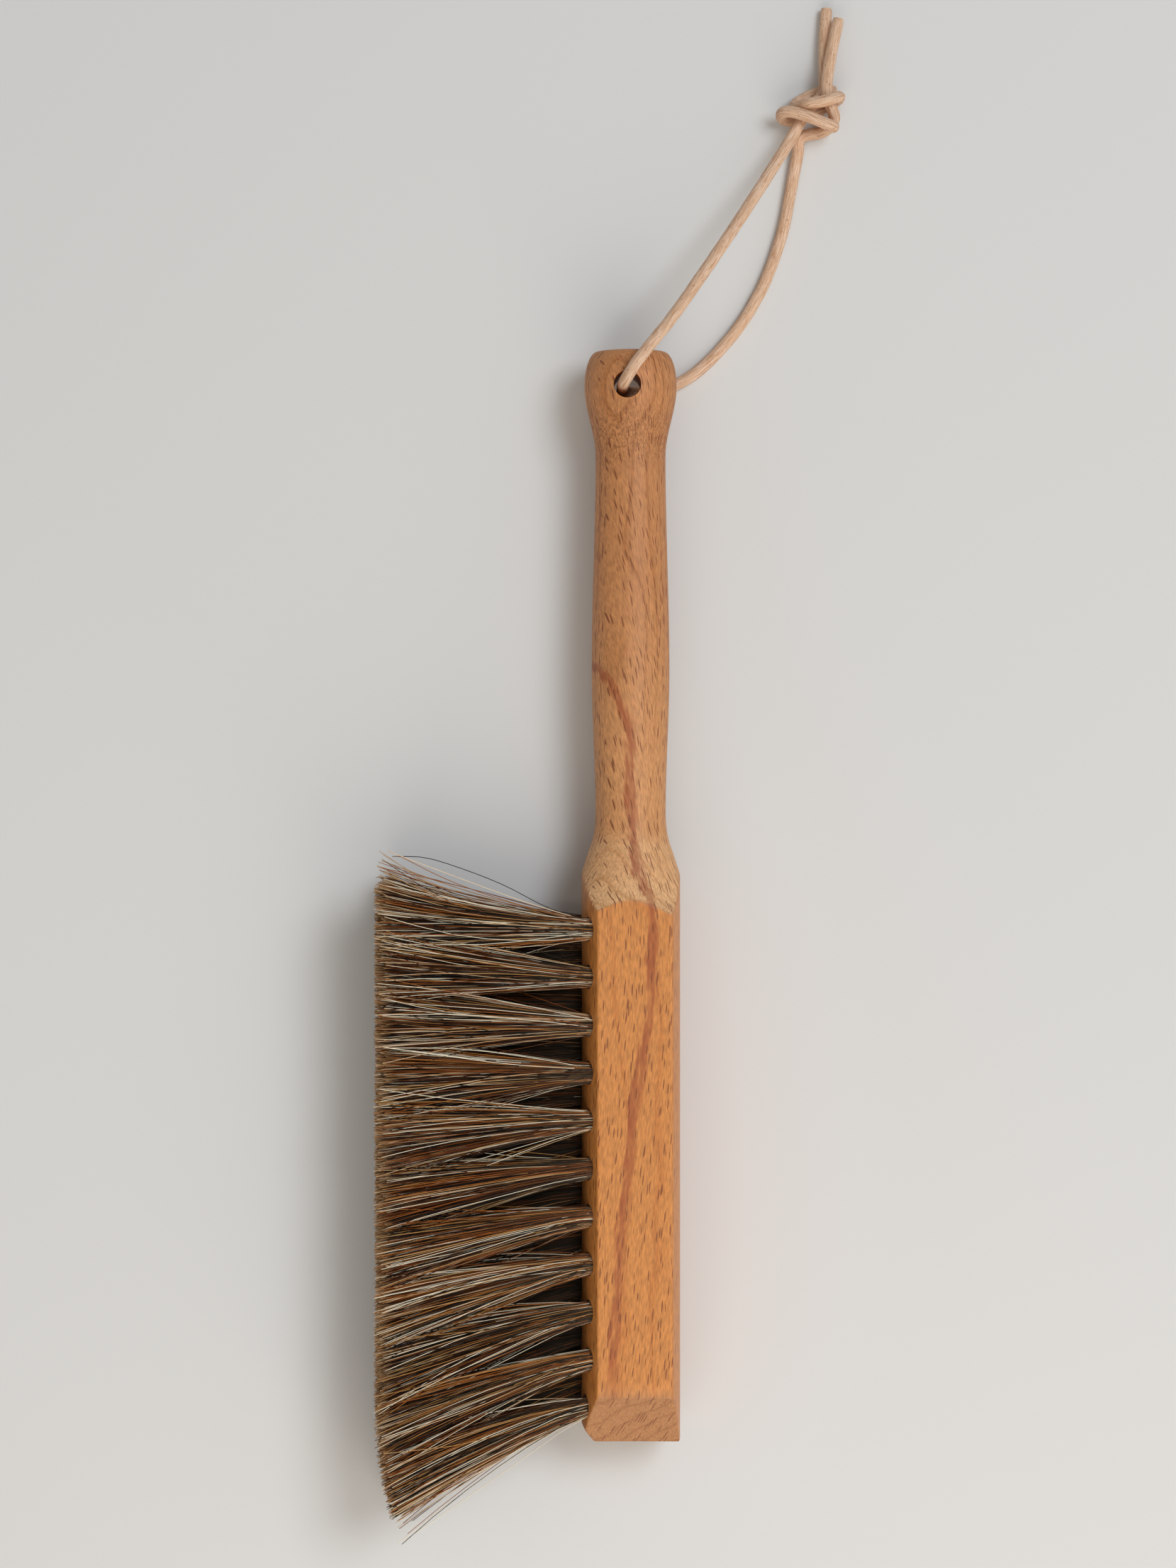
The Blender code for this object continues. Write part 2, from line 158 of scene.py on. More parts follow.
# %% Soft studio light
def area_light(name, place, size, power, colour, target=(0, 0.08, 0)):
    """A square soft light, aimed at the brush."""
    data = bpy.data.lights.new(name, "AREA")
    data.shape = "SQUARE"
    data.size = size
    data.energy = power
    data.color = linear(colour)[:3]
    lamp = linked(name, data)
    lamp.location = place
    lamp.rotation_euler = (Vector(target) - Vector(place)).to_track_quat("-Z", "Y").to_euler()


area_light("window_light", (1.09, 0.81, 2.24), 1.05, 29.3, "#f1f8ff")
area_light("fill_light", (0.15, -0.75, 0.75), 1.3, 8.6, "#fff4e6")
world = bpy.data.worlds.new("pale_room")
world.use_nodes = True
feed(world.node_tree.nodes["Background"], {"Color": linear("#f5f2ee"), "Strength": 0.325})
bpy.context.scene.world = world


# %% The floor
def material_tree(name):
    """A new material with only an output and a Principled shader in its tree."""
    made = bpy.data.materials.new(name)
    made.use_nodes = True
    shader = made.node_tree.nodes["Principled BSDF"]
    return made, made.node_tree, shader


def painted_card():
    """Matt painted card: a pale warm grey, with a faint unevenness of the paint."""
    made, tree, shader = material_tree("matt_painted_card")
    place = add(tree, "ShaderNodeTexCoord").outputs["Object"]
    cloud = add(tree, "ShaderNodeTexNoise", {"Vector": place, "Scale": 3.0, "Detail": 3.0})
    paint = add(tree, "ShaderNodeValToRGB", {"Fac": cloud}, stops=((0.0, "#dadad9"), (1.0, "#dededd")))
    feed(shader, {"Base Color": paint, "Roughness": 0.85})
    return made


def floor_mesh(half):
    mesh = bpy.data.meshes.new("floor")
    corners = [(-half, -half, 0), (half, -half, 0), (half, half, 0), (-half, half, 0)]
    mesh.from_pydata(corners, [], [(0, 1, 2, 3)])
    return mesh


floor = linked("floor", floor_mesh(4.0))
floor.data.materials.append(painted_card())
print("floor", floor.dimensions.x, "m wide")

# %% [markdown]
# ## The leather lace
#
# The lace is one round cord of vegetable-tanned leather, 3.5 mm thick. It hangs in a loop through the hole,
# and both its ends go into one knot. A curve with a bevel would give a perfect tube, but cut leather is never
# quite round, so the tube is built ring by ring along a smooth line, with small waves in its radius. Each
# point also remembers where it would lie if the lace were pulled straight. The leather's fibres are drawn in
# that straight space, so they follow every bend without a seam.

# %% Smooth lines through listed points
LACE_DIAMETER = 3.5 * MM
LACE_POINT_SPACING = 1.2 * MM


def from_hole(route):
    """Route points are in millimetres from the hanging hole's axis, with heights from the floor."""
    return [HANGING_HOLE + Vector(point) * MM for point in route]


def smooth_line(route, spacing):
    """Points at an even spacing on a smooth curve through the route's points."""
    padded = [2 * route[0] - route[1], *route, 2 * route[-1] - route[-2]]
    dense = []
    for before, start, end, after in zip(padded, padded[1:], padded[2:], padded[3:]):
        length = (end - start).length
        lead_in = (end - before) * length / ((start - before).length + length) / 3
        lead_out = (after - start) * length / ((after - end).length + length) / 3
        dense += interpolate_bezier(start, start + lead_in, end - lead_out, end, 24)[:-1]
    dense = np.array([*dense, route[-1]])
    travelled = np.concatenate([[0], np.cumsum(np.linalg.norm(np.diff(dense, axis=0), axis=1))])
    wanted = np.linspace(0, travelled[-1], round(travelled[-1] / spacing) + 1)
    return np.stack([np.interp(wanted, travelled, dense[:, i]) for i in range(3)], axis=1)


def length_of(points):
    return float(np.linalg.norm(np.diff(points, axis=0), axis=1).sum())


# %% A tube of leather along a line
TUBE_SIDES = 20
CUT_ROUNDING = 0.25 * MM
LEATHER_WAVES = 9
LEATHER_UNEVENNESS = 0.028  # share of the radius


def ring_frames(points):
    """For each point of a line, two directions across it that don't twist on the way."""
    along = np.gradient(points, axis=0)
    along /= np.linalg.norm(along, axis=1)[:, None]
    side = np.cross(along[0], (0.3, 0.2, 0.93))
    sides = []
    for direction in along:
        side = side - direction * (side @ direction)
        side = side / np.linalg.norm(side)
        sides.append(side)
    sides = np.array(sides)
    return sides, np.cross(along, sides)


def uneven(turns, distance, seed):
    """Small smooth waves round and along a tube, about -1 to 1."""
    random = np.random.default_rng(seed)
    total = np.zeros((len(distance), len(turns)))
    for _ in range(LEATHER_WAVES):
        lobes = random.integers(1, 4)
        wavelength = random.uniform(4, 26) * MM
        phase = random.uniform(0, 2 * math.pi, 2)
        along = np.sin(2 * math.pi * distance / wavelength + phase[0])
        total += along[:, None] * np.cos(lobes * turns + phase[1])[None, :]
    return total / math.sqrt(LEATHER_WAVES)


def tube_parts(points, radius, sides, unevenness=0.0, seed=0, cut_rounding=0.0):
    """Corners, faces and straight-space places of a closed tube along a line."""
    distance = np.concatenate([[0], np.cumsum(np.linalg.norm(np.diff(points, axis=0), axis=1))])
    side, up = ring_frames(points)
    turns = np.linspace(0, 2 * math.pi, sides, endpoint=False)
    radii = radius * (1 + unevenness * uneven(turns, distance, seed))
    radii[[0, -1]] -= cut_rounding
    across = np.cos(turns)[None, :, None] * side[:, None, :] + np.sin(turns)[None, :, None] * up[:, None, :]
    corners = (points[:, None, :] + radii[:, :, None] * across).reshape(-1, 3)
    straight = np.stack(
        [radii * np.cos(turns), radii * np.sin(turns), np.repeat(distance[:, None], sides, axis=1)],
        axis=-1,
    ).reshape(-1, 3)
    first = np.arange(sides)
    after = (first + 1) % sides
    faces = []
    for i in range(len(points) - 1):
        low, high = i * sides, (i + 1) * sides
        faces += np.stack([low + first, low + after, high + after, high + first], axis=1).tolist()
    ends = len(corners)
    corners = np.concatenate([corners, points[:1], points[-1:]])
    straight = np.concatenate([straight, [[0, 0, 0]], [[0, 0, distance[-1]]]])
    last = (len(points) - 1) * sides
    faces += np.stack([first * 0 + ends, after, first], axis=1).tolist()
    faces += np.stack([first * 0 + ends + 1, last + first, last + after], axis=1).tolist()
    return corners, faces, straight


def piece_from(name, parts, finish):
    """One mesh object from several (corners, faces, straight) parts, shaded smooth."""
    corners, faces, straight = [], [], []
    count = 0
    for part_corners, part_faces, part_straight in parts:
        corners.append(part_corners)
        straight.append(part_straight)
        faces += [[index + count for index in face] for face in part_faces]
        count += len(part_corners)
    mesh = bpy.data.meshes.new(name)
    mesh.from_pydata(np.concatenate(corners).tolist(), [], faces)
    values = np.concatenate(straight).astype(np.float32).ravel()
    mesh.attributes.new("straight", "FLOAT_VECTOR", "POINT").data.foreach_set("vector", values)
    mesh.shade_smooth()
    mesh.set_sharp_from_angle(angle=math.radians(50))
    mesh.materials.append(finish)
    return linked(name, mesh)


# %% [markdown]
# ### Vegetable-tanned leather
#
# Undyed leather is a pale pinkish tan with a raw, fibrous surface. The fibres run along the lace, and grain
# pits show as small brown specks. It is matt, with an IOR near 1.5 and a high roughness.

# %% Leather finish
FIBRE_WIDTH = 0.30 * MM
FIBRE_LENGTH = 4.0 * MM
PIT_SIZE = 0.45 * MM
BLOTCH_SIZE = 6.0 * MM


def tanned_leather():
    """Vegetable-tanned leather cord: pale, dry and fibrous, with small brown grain pits."""
    made, tree, shader = material_tree("vegetable_tanned_leather")
    place = add(tree, "ShaderNodeAttribute", attribute_name="straight").outputs["Vector"]
    noise = {}
    for label, size, detail in (
        ("fibres", (FIBRE_WIDTH, FIBRE_WIDTH, FIBRE_LENGTH), 3.0),
        ("blotches", (BLOTCH_SIZE, BLOTCH_SIZE, BLOTCH_SIZE), 2.0),
        ("pits", (PIT_SIZE, PIT_SIZE, 2 * PIT_SIZE), 2.0),
    ):
        cells = add(tree, "ShaderNodeMapping", {"Vector": place, "Scale": [1 / side for side in size]})
        noise[label] = add(tree, "ShaderNodeTexNoise", {"Vector": cells, "Scale": 1.0, "Detail": detail})
    tans = ((0.36, "#b37f57"), (0.62, "#f2d6bf"))
    base = add(tree, "ShaderNodeValToRGB", {"Fac": noise["fibres"]}, stops=tans)
    pit = add(tree, RANGE, ranged(noise["pits"], (0.63, 0.72), (0.0, 0.6)))
    layers = ((noise["blotches"], 1.0, linear("#dcb390")), (pit, 1.0, linear("#7d4c2a")))
    relief = {"Height": noise["fibres"], "Strength": 0.5, "Distance": 0.12 * MM}
    bump = add(tree, "ShaderNodeBump", relief)
    feed(shader, {"Base Color": layered(tree, base, layers), "Normal": bump, "Roughness": 0.72, "IOR": 1.5})
    return made


leather = tanned_leather()
print("finish:", leather.name)

# %% [markdown]
# ### The two strands
#
# The front strand comes up out of the hole, bends over the knob and slopes down to the knot. The back strand
# leaves underneath and lies on the floor all the way. Both are free cords, and each one's length is printed.

# %% Make the strands
FRONT_ROUTE = (
    (-1.3, -0.1, 18.2), (-1.3, -0.1, 22.5), (-1.3, -0.1, 26.6), (-0.9, 0.6, 30.4), (0.3, 2.5, 33.1),
    (2.3, 5.6, 34.3), (6.3, 10.9, 33.4), (11.3, 17.1, 31.0), (16.8, 24.9, 27.8), (22.8, 33.8, 24.2),
    (28.8, 42.9, 20.6), (34.4, 51.6, 17.3), (38.8, 58.6, 14.6), (42.8, 65.0, 12.2), (46.2, 70.6, 10.1),
    (48.9, 75.2, 8.4),
)
BACK_ROUTE = (
    (-1.3, -0.1, 17.8), (-1.3, -0.1, 13.0), (-1.3, -0.1, 8.8), (-0.4, -0.1, 5.3), (2.2, 0.0, 2.75),
    (5.7, 0.2, 1.85), (9.9, 0.8, 1.8), (14.1, 2.1, 1.8), (20.8, 6.1, 1.8), (29.0, 14.1, 1.8),
    (36.1, 23.6, 1.8), (42.0, 35.1, 1.8), (46.6, 49.0, 1.8), (49.3, 63.1, 1.9), (50.8, 71.0, 2.7),
    (51.3, 75.1, 3.4),
)
FRONT_UNDER_WRAP = ((50.4, 77.9, 7.4), (51.9, 80.6, 6.7))
BACK_UNDER_WRAP = ((54.0, 76.5, 2.4), (57.2, 77.0, 1.9), (59.9, 78.4, 2.4))


def strand(name, route, seed):
    path = smooth_line(from_hole(route), LACE_POINT_SPACING)
    parts = tube_parts(path, LACE_DIAMETER / 2, TUBE_SIDES, LEATHER_UNEVENNESS, seed)
    print(f"{name}: {length_of(path) / MM:.1f} mm long")
    return piece_from(name, [parts], leather), path


front_strand, front_path = strand("leather_strand_front", FRONT_ROUTE + FRONT_UNDER_WRAP, 3)
back_strand, back_path = strand("leather_strand_back", BACK_ROUTE + BACK_UNDER_WRAP, 4)

# %% [markdown]
# ### The knot
#
# Both strands pass side by side through two turns of the lace. The turns are one smooth line wound round the
# pair: the lower turn slopes down to the right in front, the upper one slopes up, curls round the right side
# and goes behind the two cut ends.

# %% Tie the knot
LEFT_END_ROUTE = (
    (51.9, 80.6, 6.7), (54.3, 83.9, 6.0), (56.8, 86.5, 5.4), (58.3, 89.1, 5.0), (58.6, 93.0, 4.4),
    (58.6, 101.6, 3.0), (59.3, 113.9, 2.2),
)
RIGHT_END_ROUTE = (
    (59.9, 78.4, 2.4), (61.5, 80.8, 4.6), (60.7, 83.4, 6.8), (59.4, 86.1, 8.0), (59.0, 88.5, 8.6),
    (59.2, 92.4, 8.2), (60.7, 101.0, 6.8), (62.7, 110.3, 5.2),
)
WRAP_ROUTE = (
    (57.4, 80.2, 5.6), (59.5, 78.7, 7.0), (61.0, 77.8, 9.0), (60.1, 78.0, 10.8), (57.5, 78.9, 11.6),
    (54.0, 80.3, 11.8), (50.2, 81.6, 11.4), (47.2, 82.2, 10.2), (45.8, 81.8, 7.6), (46.1, 80.9, 5.0),
    (48.1, 80.6, 2.8), (51.1, 81.4, 1.9), (54.9, 82.9, 1.8), (58.7, 84.7, 1.9), (61.8, 86.3, 2.8),
    (62.9, 86.9, 5.6), (62.3, 86.6, 9.2), (60.5, 85.8, 11.4), (57.5, 84.9, 11.8), (54.0, 84.4, 11.2),
    (51.8, 84.1, 9.0), (50.3, 84.0, 6.6), (49.9, 84.8, 4.6), (51.7, 86.6, 2.4), (54.5, 88.1, 1.8),
    (57.6, 89.4, 1.8), (60.6, 89.6, 2.0), (61.8, 89.3, 2.4),
)


def knot_parts():
    parts = []
    for seed, route in enumerate((LEFT_END_ROUTE, RIGHT_END_ROUTE, WRAP_ROUTE), start=11):
        path = smooth_line(from_hole(route), LACE_POINT_SPACING)
        radius = LACE_DIAMETER / 2
        parts.append(tube_parts(path, radius, TUBE_SIDES, LEATHER_UNEVENNESS, seed, CUT_ROUNDING))
    return parts


knot = piece_from("leather_knot", knot_parts(), leather)
print("knot:", len(knot.data.polygons), "faces")

for piece, node in ((front_strand, "lace_front"), (back_strand, "lace_back"), (knot, "lace_knot")):
    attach(piece, "lace")
    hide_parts(node)

# %% [markdown]
# ## The beech block and handle
#
# The wood starts as a bar with two flat sides, a crowned back and a crowned hair face. A lathe then cuts
# everything past the shoulder round. So the surface, seen from the axis, is always the nearer of two things:
# the turned profile or the bar's section. That rule gives the curved arcs where the round handle cuts into
# the flat block.
#
# A fine grid, one ring for each place along the axis, follows this rule. The nearer surface is chosen with a
# soft minimum, which leaves every edge slightly rounded, as sanding does.

# %% The turned profile
HALF_BLOCK = 18.0  # millimetres in these cells, turned to metres when the mesh is made
TURNED_PLACES = (  # (distance from the shoulder towards the knob, radius, slope)
    (-21.0, 32.03, -1.15), (-8.8, 18.0, -0.62), (6.5, 11.8, -0.36), (17.0, 10.3, 0.0), (58.0, 11.4, 0.0),
    (121.0, 10.25, 0.0), (141.0, 13.5, 0.0),
)
KNOB_CROWN = ((151.62, 8.2), (151.85, 4.6), (151.98, 1.8))  # rings on the knob's slightly domed end
KNOB_EDGE = ((141.0, 13.5), (148.04, 13.5), (151.4, 11.5), (151.4, 9.8))


def turned_radius(place):
    """Radius of the turned surface at a distance from the shoulder: cubic spans between its places."""
    radius = np.full_like(place, TURNED_PLACES[0][1])
    for (start, low, slope_in), (end, high, slope_out) in zip(TURNED_PLACES, TURNED_PLACES[1:]):
        reach = end - start
        t = np.clip((place - start) / reach, 0, 1)
        span = (
            low * (2 * t**3 - 3 * t**2 + 1)
            + slope_in * reach * (t**3 - 2 * t**2 + t)
            + high * (3 * t**2 - 2 * t**3)
            + slope_out * reach * (t**3 - t**2)
        )
        radius = np.where(place >= start, span, radius)
    return radius


print("radius at the shoulder:", round(float(turned_radius(np.array([0.0]))[0]), 2), "mm")

# %% The block's section
HALF_DEPTH = 14.5
BACK_RADIUS = 66.05
HAIR_FACE_RADIUS = 36.15
END_CHAMFER = (14.3, 11.5)  # along the block, and off each side face
HAIR_CHAMFER = (5.1, 3.8)  # along the block, and off the hair face
SOFTNESS = 0.17
END_ROUNDING = 0.5


def section_at(from_end):
    """(half thickness, half depth on the hair's side) of the block at a distance from its end."""
    half = HALF_BLOCK - END_CHAMFER[1] * np.clip(1 - from_end / END_CHAMFER[0], 0, 1)
    depth = HALF_DEPTH - HAIR_CHAMFER[1] * np.clip(1 - from_end / HAIR_CHAMFER[0], 0, 1)
    return half, depth


def arc_distance(cosine, sine, crown, radius):
    """Distance from the axis to a crowned face whose highest line is crown away, in a direction."""
    centre = crown - radius
    along = centre * cosine
    return along + np.sqrt(along**2 - centre**2 + radius**2)


def section_distance(turn, half, depth):
    """The block's surface in each direction, as a soft minimum of its faces."""
    cosine, sine = np.cos(turn), np.sin(turn)
    side = half / np.maximum(np.abs(sine), 1e-3)
    back = arc_distance(cosine, sine, HALF_DEPTH, BACK_RADIUS)
    hair = arc_distance(-cosine, sine, HALF_DEPTH, HAIR_FACE_RADIUS)
    chamfered = depth / np.maximum(-cosine, 1e-3)
    return [side, back, hair, chamfered]


def soft_minimum(distances):
    lowest = np.minimum.reduce(distances)
    total = sum(np.exp(-(d - lowest) / SOFTNESS) for d in distances)
    return lowest - SOFTNESS * np.log(total)


# %% Rings along the wood
SIDE_STEPS, FACE_STEPS = 44, 56
SHOULDER_CUT = (-20.0, 20.0)
RING_STEPS = (5.0, 0.42, 1.5)  # between rings on the block, round the shoulder and on the handle
TURNED_EDGE = 0.12  # how softly the turned finish meets the planed one


def crowded(start, end, count):
    """Places from start up to end, closer together near both."""
    share = np.arange(count) / count
    eased = (1 - np.cos(math.pi * share)) / 2
    return start + (end - start) * (0.45 * share + 0.55 * eased)


def ring_turns(half, depth):
    """Directions of one ring's corners, crowded at the block's four long edges."""
    back_edge = HALF_DEPTH - BACK_RADIUS + math.sqrt(BACK_RADIUS**2 - half**2)
    hair_edge = min(HAIR_FACE_RADIUS - HALF_DEPTH - math.sqrt(HAIR_FACE_RADIUS**2 - half**2), 0)
    hair_edge = max(hair_edge, -depth)
    back = math.atan2(half, back_edge)
    hair = math.atan2(half, hair_edge)
    return np.concatenate(
        [
            crowded(-back, back, FACE_STEPS),
            crowded(back, hair, SIDE_STEPS),
            crowded(hair, 2 * math.pi - hair, FACE_STEPS),
            crowded(2 * math.pi - hair, 2 * math.pi - back, SIDE_STEPS),
        ]
    )


def wood_places():
    """Distances from the block's end where a ring is made, and how far each ring is pulled in."""
    shoulder = (SHOULDER_Y - BLOCK_END_Y) / MM
    corner = np.radians(np.linspace(0, 90, 6))
    rounding = END_ROUNDING * (1 - np.cos(corner))
    pulled = END_ROUNDING * (1 - np.sin(corner))
    runs = [
        crowded(END_ROUNDING, HAIR_CHAMFER[0], 14)[1:],
        crowded(HAIR_CHAMFER[0], END_CHAMFER[0], 18),
        np.arange(END_CHAMFER[0], shoulder + SHOULDER_CUT[0], RING_STEPS[0]),
        np.arange(shoulder + SHOULDER_CUT[0], shoulder + SHOULDER_CUT[1], RING_STEPS[1]),
        np.arange(shoulder + SHOULDER_CUT[1], shoulder + KNOB_EDGE[0][0], RING_STEPS[2]),
    ]
    places = np.concatenate([rounding, *runs])
    return places, np.concatenate([pulled, np.zeros(len(places) - len(pulled))]), shoulder


def ring(radius, turn, place):
    """One ring's corners, at a distance along the axis."""
    return np.stack([radius * np.cos(turn), np.full_like(turn, place), radius * np.sin(turn)], axis=1)


def wood_rings():
    """Ring corners in millimetres from the block's end and the axis, and how much of each was turned."""
    rings, turned_share = [], []
    places, pulled, shoulder = wood_places()
    for place, pull in zip(places, pulled):
        half, depth = section_at(place)
        turn = ring_turns(half, depth)
        lathe = turned_radius(np.array([place - shoulder]))[0]
        faces = section_distance(turn, half, depth)
        radius = soft_minimum([*faces, np.full_like(turn, lathe)]) - pull
        share = 1 / (1 + np.exp((lathe - np.minimum.reduce(faces)) / TURNED_EDGE))
        rings.append(ring(radius, turn, place))
        turned_share.append(share)
    edge = interpolate_bezier(*[Vector((*point, 0)) for point in KNOB_EDGE], 26)
    for place, radius in [(p.x, p.y) for p in edge] + list(KNOB_CROWN):
        rings.append(ring(radius, turn, shoulder + place))
        turned_share.append(np.ones_like(turn))
    return np.array(rings), np.array(turned_share)


def wood_mesh():
    rings, turned_share = wood_rings()
    count, sides = rings.shape[:2]
    corners = rings.reshape(-1, 3) * MM + np.array([0, BLOCK_END_Y, AXIS_Z])
    middle = len(corners)
    corners = np.concatenate([corners, [[0, BLOCK_END_Y, AXIS_Z], [0, HANDLE_END_Y, AXIS_Z]]])
    first = np.arange(sides)
    after = (first + 1) % sides
    faces = [np.stack([first * 0 + middle, first, after], axis=1).tolist()]
    for i in range(count - 1):
        low, high = i * sides, (i + 1) * sides
        faces.append(np.stack([low + after, low + first, high + first, high + after], axis=1).tolist())
    last = (count - 1) * sides
    faces.append(np.stack([first * 0 + middle + 1, last + after, last + first], axis=1).tolist())
    mesh = bpy.data.meshes.new("beech_block_and_handle")
    mesh.from_pydata(corners.tolist(), [], [face for group in faces for face in group])
    share = np.concatenate([turned_share.ravel(), [0, 1]]).astype(np.float32)
    mesh.attributes.new("turned", "FLOAT", "POINT").data.foreach_set("value", share)
    return mesh


wood = linked("beech_block_and_handle", wood_mesh())
print("wood:", len(wood.data.polygons), "faces before drilling")

# %% [markdown]
# ## Drilling
#
# Thirty-two blind holes take the tufts, in three rows with the middle one offset by half a step. Geometry
# Nodes put one cylinder at each point of a row, and a Boolean cuts all of them at once. A second one cuts the
# hanging hole.

# %% Where the holes are
ROW_COUNT = 11
FIRST_HOLE = 17.3 * MM  # from the shoulder
LAST_HOLE = 10.7 * MM  # from the block's end
FIRST_TIP = 10.5 * MM
LAST_TIP = -13.5 * MM
HOLE_PITCH = (SHOULDER_Y - BLOCK_END_Y - FIRST_HOLE - LAST_HOLE) / (ROW_COUNT - 1)
TIP_PITCH = (SHOULDER_Y - BLOCK_END_Y - FIRST_TIP - LAST_TIP) / (ROW_COUNT - 1)
ROW_SPACING = 12.0 * MM
LAST_ROW_SPACING = 9.0 * MM  # the last holes stand nearer the middle, clear of the chamfers
HOLE_RADIUS = 3.5 * MM
HOLE_SIDES = 40
HOLE_BOTTOM_X = -2.0 * MM
HAIR_FACE_X = -HALF_DEPTH * MM
CUTTER_REACH = 8.0 * MM  # how far a hair hole's cutter runs past the hair face
HANGING_HOLE_RADIUS = 4.0 * MM
HANGING_CUT_LENGTH = 35.0 * MM  # longer than the knob is thick


def tuft_places():
    """(row, number, step along the row, height) of every tuft."""
    places = []
    for row, height in (("lower", -1), ("middle", 0), ("upper", 1)):
        count = ROW_COUNT - 1 if row == "middle" else ROW_COUNT
        for i in range(count):
            step = i + 0.5 if row == "middle" else i
            spacing = LAST_ROW_SPACING if step == ROW_COUNT - 1 else ROW_SPACING
            places.append((row, i + 1, step, AXIS_Z + height * spacing))
    return places


def hole_along(step):
    return SHOULDER_Y - FIRST_HOLE - HOLE_PITCH * step


print("tufts:", len(tuft_places()), "with a pitch of", round(HOLE_PITCH / MM, 2), "mm")


# %% Geometry Nodes: a tree, and what it makes
def new_tree(name, inputs):
    """An empty Geometry Nodes tree with named inputs, each given as (name, socket type, default)."""
    tree = bpy.data.node_groups.new(name, "GeometryNodeTree")
    tree.interface.new_socket("Geometry", in_out="INPUT", socket_type="NodeSocketGeometry")
    for label, kind, default in inputs:
        tree.interface.new_socket(label, in_out="INPUT", socket_type=kind).default_value = default
    tree.interface.new_socket("Geometry", in_out="OUTPUT", socket_type="NodeSocketGeometry")
    return tree, tree.nodes.new("NodeGroupInput").outputs


def shown_mesh(thing):
    """What an object's modifiers make of it, as a plain mesh."""
    graph = bpy.context.evaluated_depsgraph_get()
    shown = thing.evaluated_get(graph)
    return bpy.data.meshes.new_from_object(shown, preserve_all_data_layers=True, depsgraph=graph)


def made_by(tree, name, values, start=()):
    """Runs a tree on a few starting points and keeps what it makes as a plain mesh object."""
    source = bpy.data.meshes.new(name)
    source.from_pydata(list(start), [], [])
    host = linked(name + "_host", source)
    modifier = host.modifiers.new("Nodes", "NODES")
    modifier.node_group = tree
    for item in tree.interface.items_tree:
        if item.in_out == "INPUT" and item.name in values:
            modifier[item.identifier] = values[item.name]
    mesh = shown_mesh(host)
    bpy.data.objects.remove(host)
    mesh.name = name
    return linked(name, mesh)


# %% A copy of one solid on each point
def copies_tree(name, kind, inputs, finish, turn=(0, 0, 0), **fixed):
    """A tree that puts a copy of a solid on each starting point. Its inputs are the solid's own."""
    tree, given = new_tree(name, inputs)
    sizes = {label: given[label] for label, _, _ in inputs}
    solid = add(tree, kind, {**fixed, **sizes})
    copies = {"Points": given["Geometry"], "Instance": solid, "Rotation": turn}
    placed = add(tree, "GeometryNodeInstanceOnPoints", copies)
    real = add(tree, "GeometryNodeRealizeInstances", {"Geometry": placed})
    coated = add(tree, "GeometryNodeSetMaterial", {"Geometry": real, "Material": finish})
    add(tree, "NodeGroupOutput", {"Geometry": coated})
    return tree


def drill(target, cutter):
    """Cuts the holes, keeps the result as the target's mesh and removes the cutter."""
    cut = target.modifiers.new("Drill", "BOOLEAN")
    cut.operation = "DIFFERENCE"
    cut.solver = "MANIFOLD"
    cut.object = cutter
    mesh = shown_mesh(target)
    target.modifiers.clear()
    target.data = mesh
    bpy.data.objects.remove(cutter)


# %% [markdown]
# ### Beech
#
# Beech is a dense, even wood: pinkish tan with faint growth rings, and everywhere short dark flecks, the ends
# of its rays. Here the whole board is described in space, so that the pattern runs through the wood and each
# cut face shows its own slice of it: lines along the handle, ovals where the lathe cut through a ring, and
# curved end grain on the chamfers. The flat faces are planed and oiled and look richer than the turned wood.
# One reddish streak winds down the brush. Oiled wood has an IOR near 1.5 and a middling roughness.

# %% Beech finish
PITH = (34.0, 0.0, -62.0)  # millimetres: the tree's centre, well outside the brush
RING_SPACING = 3.2
FLECK_HALF_SIZE = (0.19, 1.8, 2.2)  # across the grain, along it, and into the wood
FLECK_RADIUS = 0.25  # of the cell that each fleck has to itself
FIBRE_SIZE = (0.42, 2.6, 0.42)
RAY_LEAN = 0.6  # how far the rays lean across the brush for each step up
ALONG_SPAN, ACROSS_SPAN = (-90.0, 240.0), (-30.0, 12.0)  # what the squares of the curves below stand for
GRAIN_LINE = (  # (along the brush, across it), millimetres: one fibre's way through the wood
    (-90.0, -8.0), (-30.0, -2.6), (30.0, 2.8), (58.0, 4.6), (78.0, 4.0), (98.0, 0.8), (130.0, -5.4),
    (240.0, -27.0),
)
STREAK = (
    (-70.0, -6.2), (-50.0, -4.6), (-25.0, -3.4), (-4.0, -1.1), (14.0, 0.8), (34.0, 4.2), (52.0, 6.1),
    (70.0, 6.2), (77.0, 4.5), (86.0, 1.3), (109.0, 0.0), (120.0, -0.1), (132.0, -3.3), (143.0, -10.9),
)
STREAK_FADE = (-72.0, -57.0)  # along the brush, where it fades out near the block's end
STREAK_EDGE = (0.6, 2.2)  # distances from its middle where it starts to fade and has gone
TORN_FIBRES = ((196.0, 208.0), (215.0, 221.0))  # rough wood under the knob: where it starts, and ends
CRUMB_SIZE = (0.4, 0.9, 0.4)
COARSE_SIZE = (1.3, 9.0, 1.3)
DRIFT_SIZE = (20.0, 83.0, 20.0)  # slow unevenness of the growth rings
STREAK_WANDER = 1.1
STRETCHES = {"below the knob": (125.0, 155.0), "low on the handle": (110.0, 165.0)}  # from all to nothing
